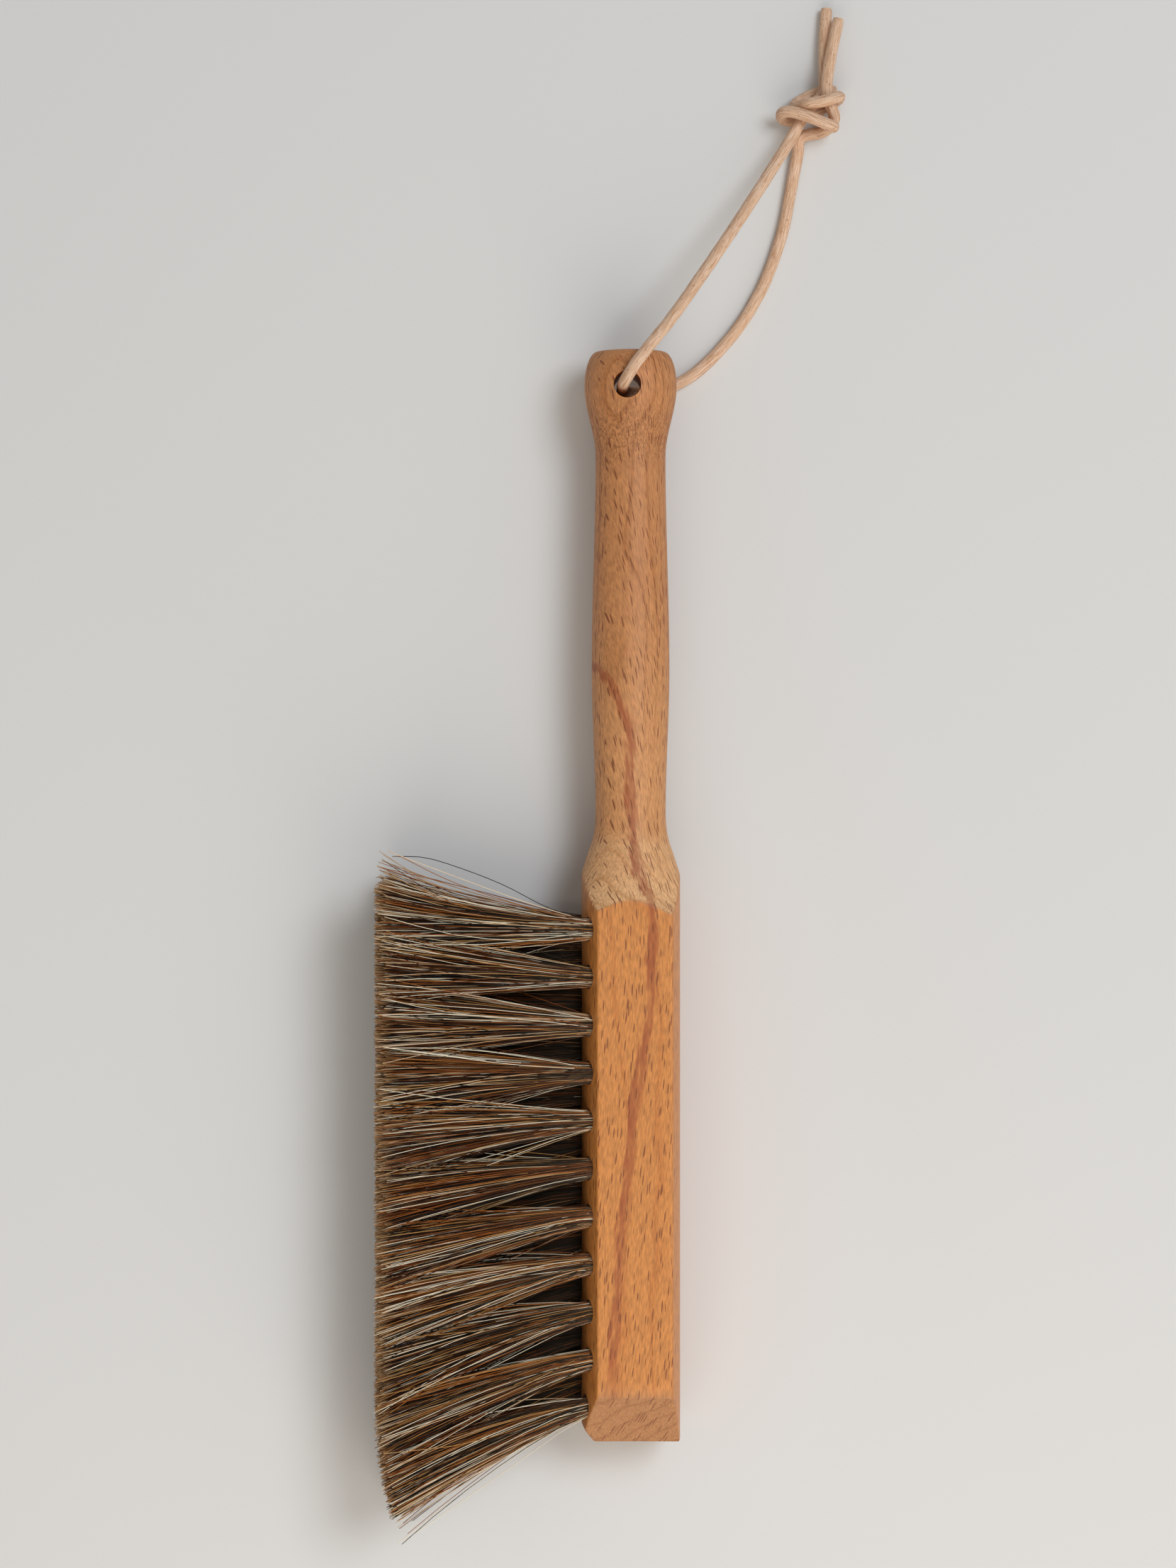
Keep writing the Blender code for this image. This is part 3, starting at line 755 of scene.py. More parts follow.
BEECH_TONES = {  # each cut's plain tone, its early and late wood, and how much the years show
    "planed": ("#cd8340", "#d58e4c", "#b9692c", 0.35),
    "turned": ("#bb7c49", "#c88956", "#a3632f", 0.5),
    "sawn": ("#ab764b", "#bb8455", "#8a5630", 0.4),
    # dry end grain on the turned shoulder, made lighter still: partly the dry wood's own tone, partly painted
    # light where the shoulder faces the light
    "dry": ("#efba84", "#f2c08c", "#bb7c42", 0.5),
}


def offset_from(tree, place, points):
    """How far a place lies across the grain from a line that runs along the brush."""
    parts = add(tree, "ShaderNodeSeparateXYZ", {0: place}).outputs
    along = add(tree, RANGE, ranged(parts[1], ALONG_SPAN))
    curve = add(tree, "ShaderNodeFloatCurve", {"Value": along})
    line = curve.mapping.curves[0]
    while len(line.points) < len(points):
        line.points.new(0.5, 0.5)
    for slot, point in zip(line.points, points):
        spans = zip(point, (ALONG_SPAN, ACROSS_SPAN))
        slot.location = [(value - low) / (high - low) for value, (low, high) in spans]
    curve.mapping.update()
    middle = add(tree, RANGE, ranged(curve, after=ACROSS_SPAN))
    return add(tree, MATH, {0: parts[0], 1: middle}, operation="SUBTRACT"), parts


def stretched_noise(tree, place, size, detail):
    """Noise whose spots have a size in millimetres along each axis."""
    cells = {0: place, 1: [1 / side for side in size]}
    cells = add(tree, VECTOR, cells, operation="MULTIPLY")
    return add(tree, "ShaderNodeTexNoise", {"Vector": cells, "Scale": 1.0, "Detail": detail}).outputs


def ring_pattern(tree, place, warp):
    """0 to 1 across each year's growth."""
    return chain(
        tree,
        place,
        (VECTOR, "ADD", {1: warp}),
        (VECTOR, "MULTIPLY", {1: (1.0, 0.035, 1.0)}),
        (VECTOR, "DISTANCE", {1: PITH}),
        (MATH, "DIVIDE", {1: RING_SPACING}),
        (MATH, "FRACT", {}),
    )


def turned_to_face(tree, place, normal):
    """The place, with width and height swapped on faces that look sideways, where flecks are thin as well."""
    parts = add(tree, "ShaderNodeSeparateXYZ", {0: place}).outputs
    swapped = add(tree, "ShaderNodeCombineXYZ", {0: parts[2], 1: parts[1], 2: parts[0]})
    across, up = [add(tree, MATH, {0: normal[i]}, operation="ABSOLUTE") for i in (0, 2)]
    sideways = add(tree, MATH, {0: across, 1: up}, operation="GREATER_THAN")
    return add(tree, "ShaderNodeMix", {0: sideways, 4: place, 5: swapped}, data_type="VECTOR")


def fleck_pattern(tree, place):
    """1 inside a ray fleck, 0 outside it. Flecks differ in size, because each is cut at another depth."""
    cell = {0: place, 1: [FLECK_RADIUS / half for half in FLECK_HALF_SIZE]}
    cells = add(tree, VECTOR, cell, operation="MULTIPLY")
    spots = add(tree, "ShaderNodeTexVoronoi", {"Vector": cells, "Scale": 1.0, "Randomness": 1.0})
    edge = (0.82 * FLECK_RADIUS, 1.1 * FLECK_RADIUS)
    return add(tree, RANGE, ranged(spots.outputs["Distance"], edge, (1.0, 0.0)))


def streak_pattern(tree, place, wander):
    """1 along the reddish streak, fading to both sides of it and towards the block's end."""
    off, parts = offset_from(tree, place, STREAK)
    off = chain(tree, off, (MATH, "ADD", {1: wander}), (MATH, "ABSOLUTE", {}))
    near = add(tree, RANGE, ranged(off, STREAK_EDGE, (1.0, 0.0)), interpolation_type="SMOOTHSTEP")
    faded = add(tree, RANGE, ranged(parts[1], STREAK_FADE))
    return add(tree, MATH, {0: near, 1: faded}, operation="MULTIPLY")


def band(tree, along, rise, fall):
    """1 between two stretches along the brush: it rises over the first and falls over the second."""
    started = add(tree, RANGE, ranged(along, rise), interpolation_type="SMOOTHSTEP")
    left = add(tree, RANGE, ranged(along, fall, (1.0, 0.0)), interpolation_type="SMOOTHSTEP")
    return add(tree, MATH, {0: started, 1: left}, operation="MULTIPLY")


def wood_fields(tree):
    """What the beech reads at each point: its years, fibres, flecks and streak, and how the point was cut."""
    coordinates = add(tree, "ShaderNodeTexCoord").outputs
    place = add(tree, VECTOR, {0: coordinates["Object"], "Scale": 1 / MM}, operation="SCALE")
    drift = stretched_noise(tree, place, DRIFT_SIZE, 2.0)["Color"]
    warp = add(tree, "ShaderNodeMapping", {"Vector": drift, "Location": (-6, -6, -6), "Scale": (12, 12, 12)})
    off, parts = offset_from(tree, place, GRAIN_LINE)
    leaned = add(tree, MATH, {0: parts[2], 1: -RAY_LEAN, 2: off}, operation="MULTIPLY_ADD")
    followed = add(tree, "ShaderNodeCombineXYZ", {0: leaned, 1: parts[1], 2: parts[2]})
    normal = add(tree, "ShaderNodeSeparateXYZ", {0: coordinates["Normal"]}).outputs
    facing = add(tree, MATH, {0: normal[1]}, operation="ABSOLUTE")
    facing = add(tree, RANGE, ranged(facing, (0.10, 0.50)), interpolation_type="SMOOTHSTEP")
    areas = {}
    for label, stretch in STRETCHES.items():
        areas[label] = add(tree, RANGE, ranged(parts[1], stretch, (1.0, 0.0)))
    end = add(tree, MATH, {0: facing, 1: areas["below the knob"]}, operation="MULTIPLY")
    torn = band(tree, parts[1], *TORN_FIBRES)
    crumbs = stretched_noise(tree, followed, CRUMB_SIZE, 2.0)["Fac"]
    crumbs = add(tree, RANGE, ranged(crumbs, (0.46, 0.62)))
    coarse = stretched_noise(tree, followed, COARSE_SIZE, 2.0)["Fac"]
    wander = add(tree, RANGE, ranged(coarse, (0.3, 0.7), (-STREAK_WANDER, STREAK_WANDER)))
    return {
        "years": ring_pattern(tree, place, warp),
        "fibres": stretched_noise(tree, followed, FIBRE_SIZE, 3.0)["Fac"],
        "flecks": fleck_pattern(tree, turned_to_face(tree, followed, normal)),
        "streak": streak_pattern(tree, place, wander),
        "blush": coarse,
        "end": end,
        "pale": areas["low on the handle"],
        "pores": add(tree, MATH, {0: crumbs, 1: end}, operation="MULTIPLY"),
        "torn": add(tree, MATH, {0: crumbs, 1: torn}, operation="MULTIPLY"),
        "turned": add(tree, "ShaderNodeAttribute", attribute_name="turned").outputs["Fac"],
    }


def cut_tone(tree, years, cut):
    """One cut's plain tone with some of its years, each of which darkens slowly and then starts again."""
    plain, early, late, share = BEECH_TONES[cut]
    stops = ((0.0, early), (0.72, early), (0.92, late), (1.0, early))
    grown = add(tree, "ShaderNodeValToRGB", {"Fac": years}, stops=stops)
    return add(tree, "ShaderNodeMix", {0: share, 6: linear(plain), 7: grown}, data_type="RGBA")


def oiled_beech():
    """Oiled beech, planed on the flats and turned on the handle: warm tan, flecked and softly glossy."""
    made, tree, shader = material_tree("oiled_beech")
    field = wood_fields(tree)
    tones = {cut: cut_tone(tree, field["years"], cut) for cut in BEECH_TONES}
    turned = layered(tree, tones["turned"], [(field["pale"], 0.5, linear("#dba06a"))])
    # End grain: the sawn tone on the chamfers, and on the turned shoulder the dry tone, whose lightness is
    # partly painted light.
    ends = layered(tree, tones["sawn"], [(field["turned"], 1.0, tones["dry"])])
    toned = layered(tree, tones["planed"], [(field["turned"], 1.0, turned), (field["end"], 0.9, ends)])
    fibre = add(tree, RANGE, ranged(field["fibres"], (0.34, 0.66), (0.78, 1.17)))
    toned = add(tree, VECTOR, {0: toned, "Scale": fibre}, operation="SCALE")
    patchy = add(tree, RANGE, ranged(field["blush"], (0.35, 0.65), (0.6, 1.0)))
    red = add(tree, MATH, {0: field["streak"], 1: patchy}, operation="MULTIPLY")
    marks = (
        (red, 0.8, linear("#98451f")),
        (field["torn"], 0.6, linear("#7d4a22")),
        (field["pores"], 0.2, linear("#93602f")),
        (field["flecks"], 0.8, linear("#75391a")),
    )
    height = field["fibres"]
    for dip, depth in ((field["flecks"], -0.6), (field["torn"], -1.2)):
        height = add(tree, MATH, {0: dip, 1: depth, 2: height}, operation="MULTIPLY_ADD")
    relief = {"Height": height, "Strength": 0.3, "Distance": 0.1 * MM}
    surface = {
        "Base Color": layered(tree, toned, marks),
        "Normal": add(tree, "ShaderNodeBump", relief),
        "Roughness": add(tree, RANGE, ranged(field["turned"], after=(0.45, 0.58))),
        "IOR": 1.5,
    }
    feed(shader, surface)
    return made


# %% Drill and finish the wood
beech = oiled_beech()
wood.data.materials.append(beech)
hole_inputs = (("Radius", "NodeSocketFloat", 0.001), ("Depth", "NodeSocketFloat", 0.01))
bar = "GeometryNodeMeshCylinder"
lying = (0, math.radians(90), 0)
holes = copies_tree("holes_on_points", bar, hole_inputs, beech, turn=lying, Vertices=HOLE_SIDES)
middle_x = (HOLE_BOTTOM_X + HAIR_FACE_X - CUTTER_REACH) / 2
depth = HOLE_BOTTOM_X - HAIR_FACE_X + CUTTER_REACH
starts = [(middle_x, hole_along(step), height) for _, _, step, height in tuft_places()]
drill(wood, made_by(holes, "hair_hole_cutters", {"Radius": HOLE_RADIUS, "Depth": depth}, starts))


def hanging_hole_cutter():
    """An upright bar through the knob."""
    heights = [AXIS_Z + share * HANGING_CUT_LENGTH for share in (-0.5, 0, 0.5)]
    path = np.array([HANGING_HOLE + Vector((0, 0, height)) for height in heights])
    corners, faces, _ = tube_parts(path, HANGING_HOLE_RADIUS, 64)
    mesh = bpy.data.meshes.new("hanging_hole_cutter")
    mesh.from_pydata(corners.tolist(), [], faces)
    return linked("hanging_hole_cutter", mesh)


drill(wood, hanging_hole_cutter())
wood.data.shade_smooth()
wood.data.set_sharp_from_angle(angle=math.radians(48))
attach(wood, "brush")
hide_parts("block_and_handle")
print("wood:", len(wood.data.polygons), "faces, attributes", [a.name for a in wood.data.attributes][:6])

# %% [markdown]
# ## The horse hair
#
# A tuft is a bundle of hair, folded in two round a flat wire at the bottom of its hole. It leaves the hole
# round and tight, and fans out until it meets its neighbours. The tips are trimmed to one plane, with the
# last corner cut back.
#
# Every tuft comes from one node tree. It lays one straight line for each hair and then moves each line's
# points: from a place in the hole, out to a place in the tuft's share of the brush's face. Noise that changes
# slowly across the tuft pulls neighbouring hairs together into locks, and a few hairs bow away from the rest.

# %% Hair sizes
HAIR_THICKNESS = 0.23 * MM
HAIR_POINTS = 8
HAIRS_IN_A_TUFT = 850
TIP_X = HAIR_FACE_X - 60 * MM
FIELD_TOP = 39.4 * MM
FLOOR_GAP = 0.12 * MM
TRIM_START = 8.0 * MM
TRIM_SLOPE = 0.23
TIP_UNEVENNESS = 2.0 * MM
LOCK_PULL = (0.0, 1.1, 0.7)  # shares of the tuft's half size: outwards, along the brush and up
CROSSING = (0.0, 0.24, 0.16)
STRAY_RARITY = 9.0  # a higher power leaves fewer hairs that stray
STRAY_STRENGTH = 5.5
BOW = (0.0, 0.55 * MM, 0.35 * MM)
CRIMP = (0.0, 0.20 * MM, 0.15 * MM)
CRIMP_TURNS = 11.0  # radians from root to tip
OWN_TONE = {1: 0.56, 2: 0.34}  # a hair's random number times the first, plus the second
LOCK_TONE = {1: 1.5, 2: -0.78}  # the same for its lock
TIPS_PALER = 0.14
STRAYS_PALER = ((1.3, 3.5), (0.0, 0.3))
HAIR_TONES = (  # black, dark brown, chestnut, ginger, straw and nearly white
    (0.0, "#0b0704"),
    (0.30, "#26170a"),
    (0.48, "#6f3813"),
    (0.63, "#a95f24"),
    (0.77, "#c69352"),
    (1.0, "#fff4da"),
)


def horse_hair():
    """Mixed horse hair: each hair has one tone, a little greyer at its root and lighter where it is cut."""
    made, tree, shader = material_tree("mixed_horse_hair")
    tone = add(tree, "ShaderNodeAttribute", attribute_name="tone").outputs["Fac"]
    along = add(tree, "ShaderNodeAttribute", attribute_name="along").outputs["Fac"]
    kinds = add(tree, "ShaderNodeValToRGB", {"Fac": tone}, stops=HAIR_TONES)
    grey = add(tree, RANGE, ranged(along, (0.05, 0.5), (0.12, 0.0)))
    cut_end = add(tree, RANGE, ranged(along, (0.955, 1.0), (0.0, 0.6)))
    hue = layered(tree, kinds, ((grey, 1.0, linear("#95836b")), (cut_end, 1.0, linear("#c79c6c"))))
    feed(shader, {"Base Color": hue, "Roughness": 0.45, "IOR": 1.45, "Specular IOR Level": 0.22})
    return made


hair_finish = horse_hair()
print("hair:", HAIRS_IN_A_TUFT, "hairs in a tuft")


# %% The hairs of a tuft, and their random draws
def straight_hairs(tree, count):
    """Straight lines, one for each hair."""
    points = add(tree, "GeometryNodePoints", {"Count": count})
    line = add(tree, "GeometryNodeCurvePrimitiveLine", {"End": (1, 0, 0)})
    line = add(tree, "GeometryNodeResampleCurve", {"Curve": line, "Count": HAIR_POINTS})
    placed = add(tree, "GeometryNodeInstanceOnPoints", {"Points": points, "Instance": line})
    return add(tree, "GeometryNodeRealizeInstances", {"Geometry": placed})


def random_draws(tree, seed):
    """Four random vectors for each hair: its place in the tuft, how it crosses and bows, and three more."""
    index = add(tree, "GeometryNodeInputIndex")
    number = add(tree, "GeometryNodeFieldOnDomain", {0: index}, domain="CURVE", data_type="INT")
    draws = []
    for offset in range(4):
        one = add(tree, MATH, {0: seed, 1: float(offset)}, operation="ADD")
        span = {0: (-1, -1, -1), 1: (1, 1, 1), "ID": number, "Seed": one}
        draws.append(add(tree, "FunctionNodeRandomValue", span, data_type="FLOAT_VECTOR"))
    spread, crossing, bow, fate = draws
    return spread, crossing, bow, add(tree, "ShaderNodeSeparateXYZ", {0: fate}).outputs


def locks(tree, seed, spread):
    """Slow noise across the tuft pulls neighbours together, and finer noise splits them again."""
    apart = add(tree, MATH, {0: seed, 1: 3.7}, operation="MULTIPLY")
    shifted = add(tree, VECTOR, {0: spread, 1: apart}, operation="ADD")
    pulls = []
    for scale, strength in ((1.9, 1.0), (7.0, 0.45)):
        noise = add(tree, "ShaderNodeTexNoise", {"Vector": shifted, "Scale": scale, "Detail": 1.0})
        centred = (VECTOR, "SUBTRACT", {1: (0.5, 0.5, 0.5)})
        pulls.append(chain(tree, noise.outputs["Color"], centred, (VECTOR, "SCALE", {"Scale": strength})))
    pull = chain(tree, pulls[0], (VECTOR, "ADD", {1: pulls[1]}), (VECTOR, "MULTIPLY", {1: LOCK_PULL}))
    return pull, noise.outputs["Fac"]


def waywardness(tree, draw, looseness):
    """How far each hair bows and crosses: near 1 for most of them, and several times that for a few."""
    return chain(
        tree,
        draw,
        (MATH, "ABSOLUTE", {}),
        (MATH, "POWER", {1: STRAY_RARITY}),
        (MATH, "MULTIPLY_ADD", {1: STRAY_STRENGTH, 2: 1.0}),
        (MATH, "MULTIPLY", {1: looseness}),
    )


# %% From the hole to the trimmed tips
def root_and_tip(tree, given, spread, crossing, lock, wild):
    """The root lies in the round hole, and the tip at the same place in the tuft's share of the face."""
    flat = add(tree, VECTOR, {0: spread, 1: (0, 1, 1)}, operation="MULTIPLY")
    reach = chain(tree, flat, (VECTOR, "LENGTH", {}), (MATH, "MAXIMUM", {1: 1.0}))
    shrink = add(tree, MATH, {0: given["Root Radius"], 1: reach}, operation="DIVIDE")
    root = chain(tree, flat, (VECTOR, "SCALE", {"Scale": shrink}), (VECTOR, "ADD", {1: given["Root"]}))
    crossing = chain(tree, crossing, (VECTOR, "MULTIPLY", {1: CROSSING}), (VECTOR, "SCALE", {"Scale": wild}))
    tip = chain(
        tree,
        spread,
        (VECTOR, "ADD", {1: lock}),
        (VECTOR, "ADD", {1: crossing}),
        (VECTOR, "MULTIPLY_ADD", {1: given["Tip Half Size"], 2: given["Tip"]}),
    )
    return root, tip


def kept_share(tree, root, tip, draw):
    """How much of a hair is left when the slanting cut at the block's end has trimmed it."""
    cut_place = (VECTOR, "SUBTRACT", {1: (TIP_X, BLOCK_END_Y + TRIM_START, 0.0)})
    cut_normal = (VECTOR, "DOT_PRODUCT", {1: (-1.0, -TRIM_SLOPE, 0.0)})
    passed = []
    for place in (root, tip):
        beyond = chain(tree, place, cut_place, cut_normal)
        ragged = {0: draw, 1: TIP_UNEVENNESS, 2: beyond}
        passed.append(add(tree, MATH, ragged, operation="MULTIPLY_ADD"))
    span = add(tree, MATH, {0: passed[0], 1: passed[1]}, operation="SUBTRACT")
    kept = add(tree, MATH, {0: passed[0], 1: span}, operation="DIVIDE")
    over = add(tree, MATH, {0: passed[1], 1: 0.0}, operation="GREATER_THAN")
    return add(tree, "ShaderNodeMix", {0: over, 2: 1.0, 3: kept}, data_type="FLOAT")


def bows_and_crimp(tree, reached, bow, draw, wild):
    """How far a hair leaves its straight way: one wide bow and a slight wave."""
    half_wave = chain(tree, reached, (MATH, "MULTIPLY", {1: math.pi}), (MATH, "SINE", {}))
    bowing = chain(
        tree,
        bow,
        (VECTOR, "MULTIPLY", {1: BOW}),
        (VECTOR, "SCALE", {"Scale": wild}),
        (VECTOR, "SCALE", {"Scale": half_wave}),
    )
    turn = add(tree, MATH, {0: reached, 1: CRIMP_TURNS}, operation="MULTIPLY")
    ripple = chain(
        tree,
        draw,
        (MATH, "MULTIPLY_ADD", {1: math.pi, 2: turn}),
        (MATH, "SINE", {}),
        (MATH, "MULTIPLY", {1: reached}),
    )
    return bowing, add(tree, VECTOR, {0: CRIMP, "Scale": ripple}, operation="SCALE")


def hair_places(tree, given, root, tip, kept, bow, draw, wild):
    """Where each point lies. The first is deep in the hole, the second at its mouth, the last at the tip."""
    factor = add(tree, "GeometryNodeSplineParameter").outputs["Factor"]
    mouth = 1 / (HAIR_POINTS - 1)
    share = add(tree, RANGE, ranged(factor, (mouth, 1.0)))
    reached = add(tree, MATH, {0: share, 1: kept}, operation="MULTIPLY")
    eased = add(tree, MATH, {0: reached, 1: given["Flare"]}, operation="POWER")
    way = add(tree, VECTOR, {0: tip, 1: root}, operation="SUBTRACT")
    way = add(tree, "ShaderNodeSeparateXYZ", {0: way}).outputs
    axes = {}
    for axis, amount in enumerate((reached, eased, eased)):
        axes[axis] = add(tree, MATH, {0: way[axis], 1: amount}, operation="MULTIPLY")
    step = add(tree, "ShaderNodeCombineXYZ", axes)
    offsets = (step, *bows_and_crimp(tree, reached, bow, draw, wild))
    place = chain(tree, root, *[(VECTOR, "ADD", {1: offset}) for offset in offsets])
    first_point = (MATH, "LESS_THAN", {1: mouth / 2})
    inside = chain(tree, factor, first_point, (MATH, "MULTIPLY", {1: given["Inside Length"]}))
    parts = add(tree, "ShaderNodeSeparateXYZ", {0: place}).outputs
    x = add(tree, MATH, {0: parts[0], 1: inside}, operation="ADD")
    z = add(tree, MATH, {0: parts[2], 1: FLOOR_GAP}, operation="MAXIMUM")
    return add(tree, "ShaderNodeCombineXYZ", {0: x, 1: parts[1], 2: z}), reached


# %% The tuft's node tree
def hair_tone(tree, painted_shade, draw, lock_tone, wild, reached):
    """The tone of each hair, from 0 (black) to 1 (nearly white), lowered by the tuft's painted shade."""
    # Painted shade: the given amount is taken off every lock's tone, for the shadow deep inside the brush.
    shade_step = (MATH, "SUBTRACT", {1: painted_shade})
    lock_tone = chain(tree, lock_tone, (MATH, "MULTIPLY_ADD", LOCK_TONE), shade_step)
    tone = add(tree, MATH, {0: draw, **OWN_TONE}, operation="MULTIPLY_ADD")
    tone = add(tree, MATH, {0: reached, 1: TIPS_PALER, 2: tone}, operation="MULTIPLY_ADD")
    tone = add(tree, MATH, {0: tone, 1: lock_tone}, operation="ADD")
    paler = add(tree, RANGE, ranged(wild, *STRAYS_PALER))
    return add(tree, MATH, {0: tone, 1: paler}, operation="ADD", use_clamp=True)


def tuft_tree(finish):
    inputs = (
        ("Hairs", "NodeSocketInt", 100),
        ("Seed", "NodeSocketInt", 0),
        ("Root", "NodeSocketVector", (0, 0, 0)),
        ("Root Radius", "NodeSocketFloat", 0.003),
        ("Tip", "NodeSocketVector", (0, 0, 0)),
        ("Tip Half Size", "NodeSocketVector", (0, 0, 0)),
        ("Inside Length", "NodeSocketFloat", 0.01),
        ("Thickness", "NodeSocketFloat", 0.0002),
        ("Looseness", "NodeSocketFloat", 1.0),
        ("Flare", "NodeSocketFloat", 1.1),
        # painted shade, taken off the hairs' tone
        ("Painted Shade", "NodeSocketFloat", 0.0),
    )
    tree, given = new_tree("tuft_of_hair", inputs)
    hairs = straight_hairs(tree, given["Hairs"])
    spread, crossing, bow, fate = random_draws(tree, given["Seed"])
    lock, lock_tone = locks(tree, given["Seed"], spread)
    wild = waywardness(tree, fate[0], given["Looseness"])
    root, tip = root_and_tip(tree, given, spread, crossing, lock, wild)
    kept = kept_share(tree, root, tip, fate[1])
    place, reached = hair_places(tree, given, root, tip, kept, bow, fate[1], wild)
    hairs = add(tree, "GeometryNodeSetPosition", {"Geometry": hairs, "Position": place})
    tone = hair_tone(tree, given["Painted Shade"], fate[2], lock_tone, wild, reached)
    for label, value in (("tone", tone), ("along", reached)):
        kept_as = {"Geometry": hairs, "Name": label, "Value": value}
        hairs = add(tree, "GeometryNodeStoreNamedAttribute", kept_as, data_type="FLOAT", domain="POINT")
    # Thin three-sided tubes: the pale hairs are the thickest
    size = add(tree, MATH, {0: tone, 1: 0.45, 2: 0.8}, operation="MULTIPLY_ADD")
    hairs = add(tree, "GeometryNodeSetCurveRadius", {"Curve": hairs, "Radius": size})
    half = add(tree, MATH, {0: given["Thickness"], 1: 0.5}, operation="MULTIPLY")
    rim = add(tree, "GeometryNodeCurvePrimitiveCircle", {"Resolution": 3, "Radius": half})
    tubes = add(tree, "GeometryNodeCurveToMesh", {"Curve": hairs, "Profile Curve": rim, "Fill Caps": True})
    coated = add(tree, "GeometryNodeSetMaterial", {"Geometry": tubes, "Material": finish})
    add(tree, "NodeGroupOutput", {"Geometry": coated})
    return tree


hair_tree = tuft_tree(hair_finish)
print("tree:", len(hair_tree.nodes), "nodes")

# %% Grow the tufts
ROOT_X = HAIR_FACE_X + 2.6 * MM  # just inside the crowned face, where a tuft starts to fan out
ROOT_RADIUS = HOLE_RADIUS - 0.35 * MM
INSIDE_LENGTH = HOLE_BOTTOM_X - 0.9 * MM - ROOT_X
FIRST_TUCK = 3.5 * MM  # the first tufts' loose hairs fan out less
TIP_FILL = (0.98, 0.96)  # how much of its place a tuft's end fills
ROWS = ("lower", "middle", "upper")


def grow(row, number, step, height, seed):
    layer = FIELD_TOP / len(ROWS)
    at_an_end = step < 1 or step > ROW_COUNT - 2
    tip_height = layer * (ROWS.index(row) + 0.5) + FLOOR_GAP
    tip_along = SHOULDER_Y - FIRST_TIP - TIP_PITCH * step - (FIRST_TUCK if step < 1 else 0.0)
    values = {
        "Hairs": HAIRS_IN_A_TUFT,
        "Seed": seed,
        "Root": (ROOT_X, hole_along(step), height),
        "Root Radius": ROOT_RADIUS,
        "Tip": (TIP_X + TIP_UNEVENNESS, tip_along, tip_height),
        "Tip Half Size": (TIP_UNEVENNESS, TIP_PITCH / 2 * TIP_FILL[0], layer / 2 * TIP_FILL[1]),
        "Inside Length": INSIDE_LENGTH,
        "Thickness": HAIR_THICKNESS,
        "Looseness": 1.3 if at_an_end else 1.0,
        "Flare": 1.75 if step < 1 else 1.2,
        # Painted shade: the lower and middle rows are darker, for the shadow between and under the tufts.
        "Painted Shade": 0.0 if row == "upper" else 0.32,
    }
    tuft = made_by(hair_tree, f"horse_hair_{row}_{number:02d}", values)
    tuft.data.shade_smooth()
    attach(tuft, "brush")
    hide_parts(f"tuft_{row}_{number:02d}")
    return tuft


tufts = [grow(*place, seed=10 * i) for i, place in enumerate(tuft_places(), start=1)]
print("tufts:", len(tufts), "with", sum(len(t.data.polygons) for t in tufts), "faces")

# %% [markdown]
# ## Anchors
#
# The flat wires that hold the tufts lie at the bottom of the holes. They are bright zinc-plated steel. The
# middle row's anchors are part of their tufts in the engineering model, so they are made here, with one small
# box on each point of the row.

# %% Zinc-plated wire
ANCHOR_SIZE = (1.6 * MM, 8.2 * MM, 0.45 * MM)
DRAWN_CELLS = (6000, 400, 6000)  # noise cells in a metre: long ones along the wire


def zinc_plate():
    """Zinc-plated steel wire: bright bluish grey, slightly cloudy, drawn along its length."""
    made, tree, shader = material_tree("zinc_plated_steel")
    place = add(tree, "ShaderNodeTexCoord").outputs["Object"]
    drawn = add(tree, "ShaderNodeMapping", {"Vector": place, "Scale": DRAWN_CELLS})
    lines = add(tree, "ShaderNodeTexNoise", {"Vector": drawn, "Scale": 1.0, "Detail": 2.0})
    tone = add(tree, "ShaderNodeValToRGB", {"Fac": lines}, stops=((0.0, "#9aa0a6"), (1.0, "#c9cdd1")))
    feed(shader, {"Base Color": tone, "Metallic": 1.0, "Roughness": 0.38})
    return made


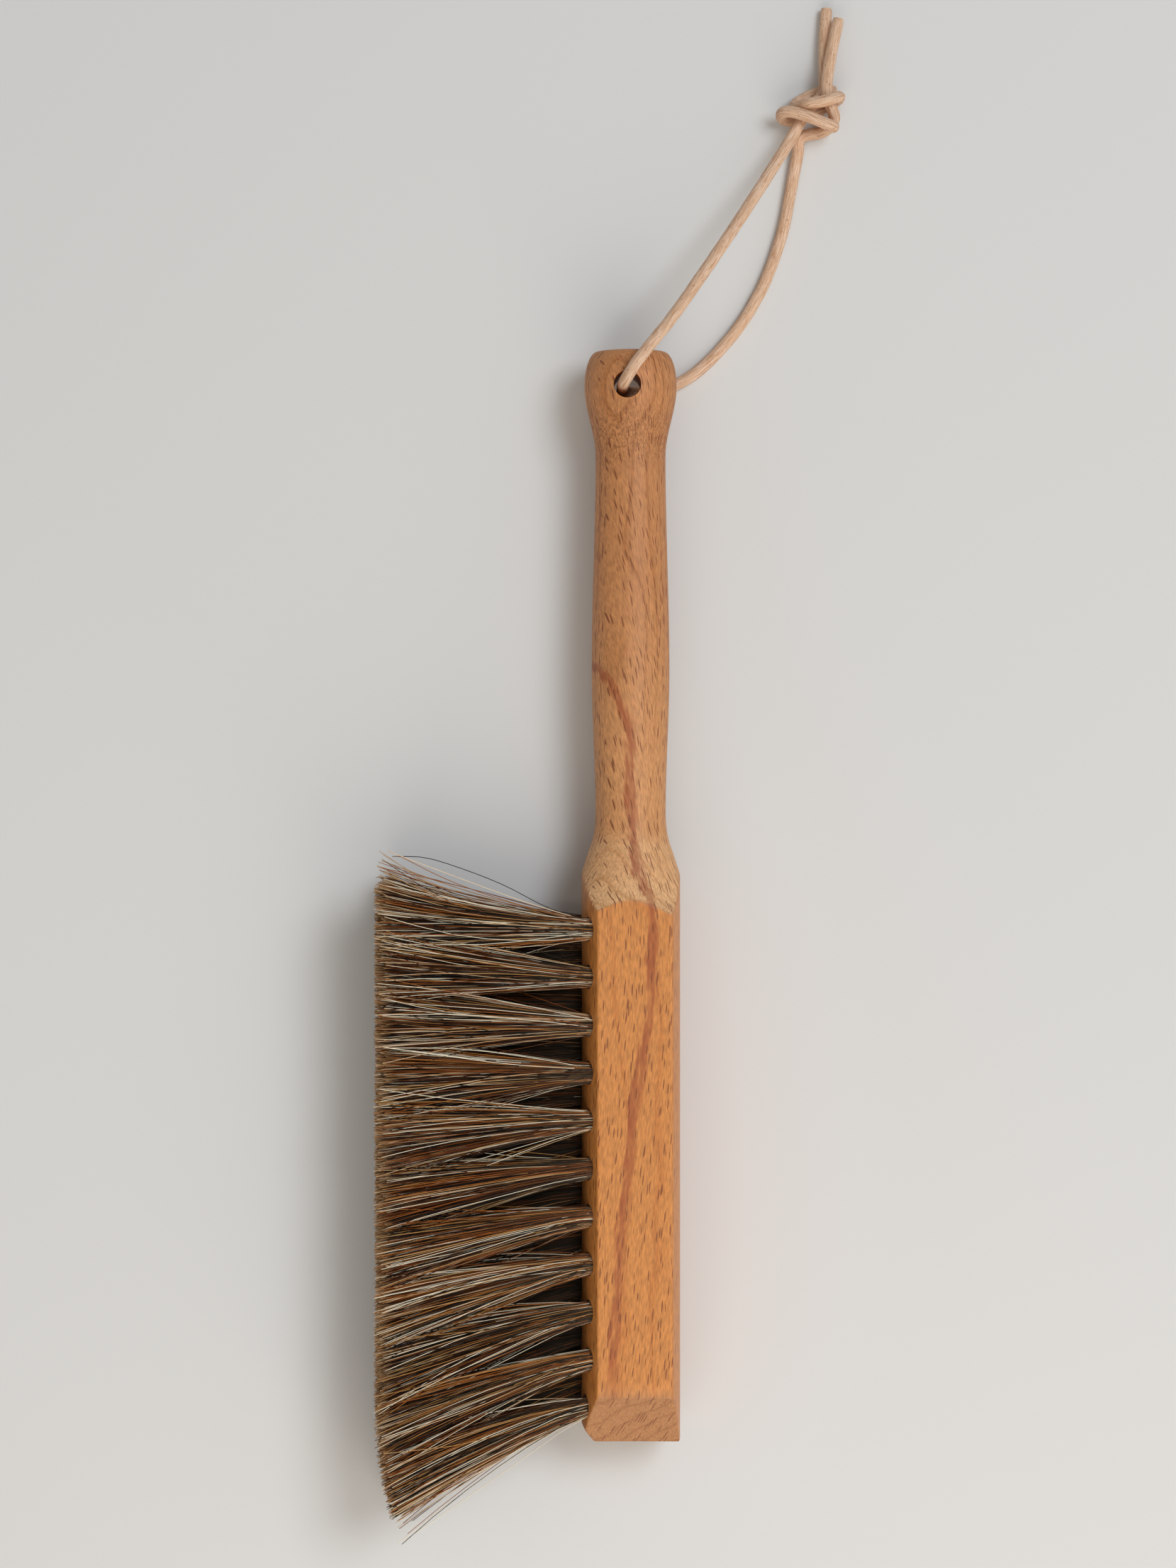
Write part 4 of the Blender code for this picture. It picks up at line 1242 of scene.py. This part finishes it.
zinc = zinc_plate()
anchor_x = (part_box("anchor_upper_01")[0].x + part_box("anchor_upper_01")[1].x) / 2
middle_row = [place for place in tuft_places() if place[0] == "middle"]
middle_row = [(anchor_x, hole_along(step), height) for _, _, step, height in middle_row]
wire_inputs = (("Size", "NodeSocketVector", (1, 1, 1)),)
wires = copies_tree("anchors_on_points", "GeometryNodeMeshCube", wire_inputs, zinc)
anchors = made_by(wires, "anchors_middle_row", {"Size": ANCHOR_SIZE}, middle_row)
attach(anchors, "brush")
for name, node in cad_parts.items():
    if name.startswith("anchor_"):
        node.data.materials.clear()
        node.data.materials.append(zinc)
print("anchors:", len(middle_row), "made and", sum(n.startswith("anchor_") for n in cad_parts), "coated")

# %% [markdown]
# ## Stray hairs
#
# A used brush has a few hairs that left their tuft. One long dark hair arches over the first tuft, and some
# shorter ones stand away from the upper edge. Each is a thin tube along a smooth line through a few listed
# points.

# %% Place the stray hairs
LONG_STRAY = (
    (-12.0, 68.6, 30.5), (-24.0, 72.5, 33.5), (-37.4, 79.3, 34.0), (-51.2, 84.6, 34.5), (-60.2, 87.1, 34.0),
    (-69.2, 87.3, 33.0),
)
STRAYS = (  # routes in millimetres, in the brush's own frame, and a tone from dark to blond
    (LONG_STRAY, 0.03),
    (((-12.0, 68.4, 31.0), (-30.0, 74.0, 34.5), (-48.0, 80.5, 35.5), (-70.5, 89.0, 36.0)), 0.9),
    (((-12.0, 68.5, 29.5), (-33.0, 73.5, 31.5), (-52.0, 80.0, 31.0), (-68.0, 87.8, 30.0)), 0.66),
    (((-12.0, 68.0, 29.0), (-30.0, 72.5, 29.5), (-50.0, 78.0, 29.5), (-72.5, 86.0, 28.0)), 0.75),
    (((-12.0, 67.9, 32.0), (-31.0, 72.7, 36.0), (-50.0, 77.0, 38.0), (-73.0, 84.4, 39.0)), 0.5),
)


def stray_parts():
    parts = []
    for route, _ in STRAYS:
        path = smooth_line([Vector(point) * MM for point in route], 4 * MM)
        parts.append(tube_parts(path, HAIR_THICKNESS / 2, 5))
    return parts


strays = piece_from("stray_hairs", stray_parts(), hair_finish)
written = {"tone": [], "along": []}
for (_, tone), (corners, _, straight) in zip(STRAYS, stray_parts()):
    written["tone"] += [tone] * len(corners)
    written["along"] += (straight[:, 2] / straight[:, 2].max()).tolist()
for label, values in written.items():
    strays.data.attributes.new(label, "FLOAT", "POINT").data.foreach_set("value", values)
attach(strays, "brush")
print("strays:", len(STRAYS))
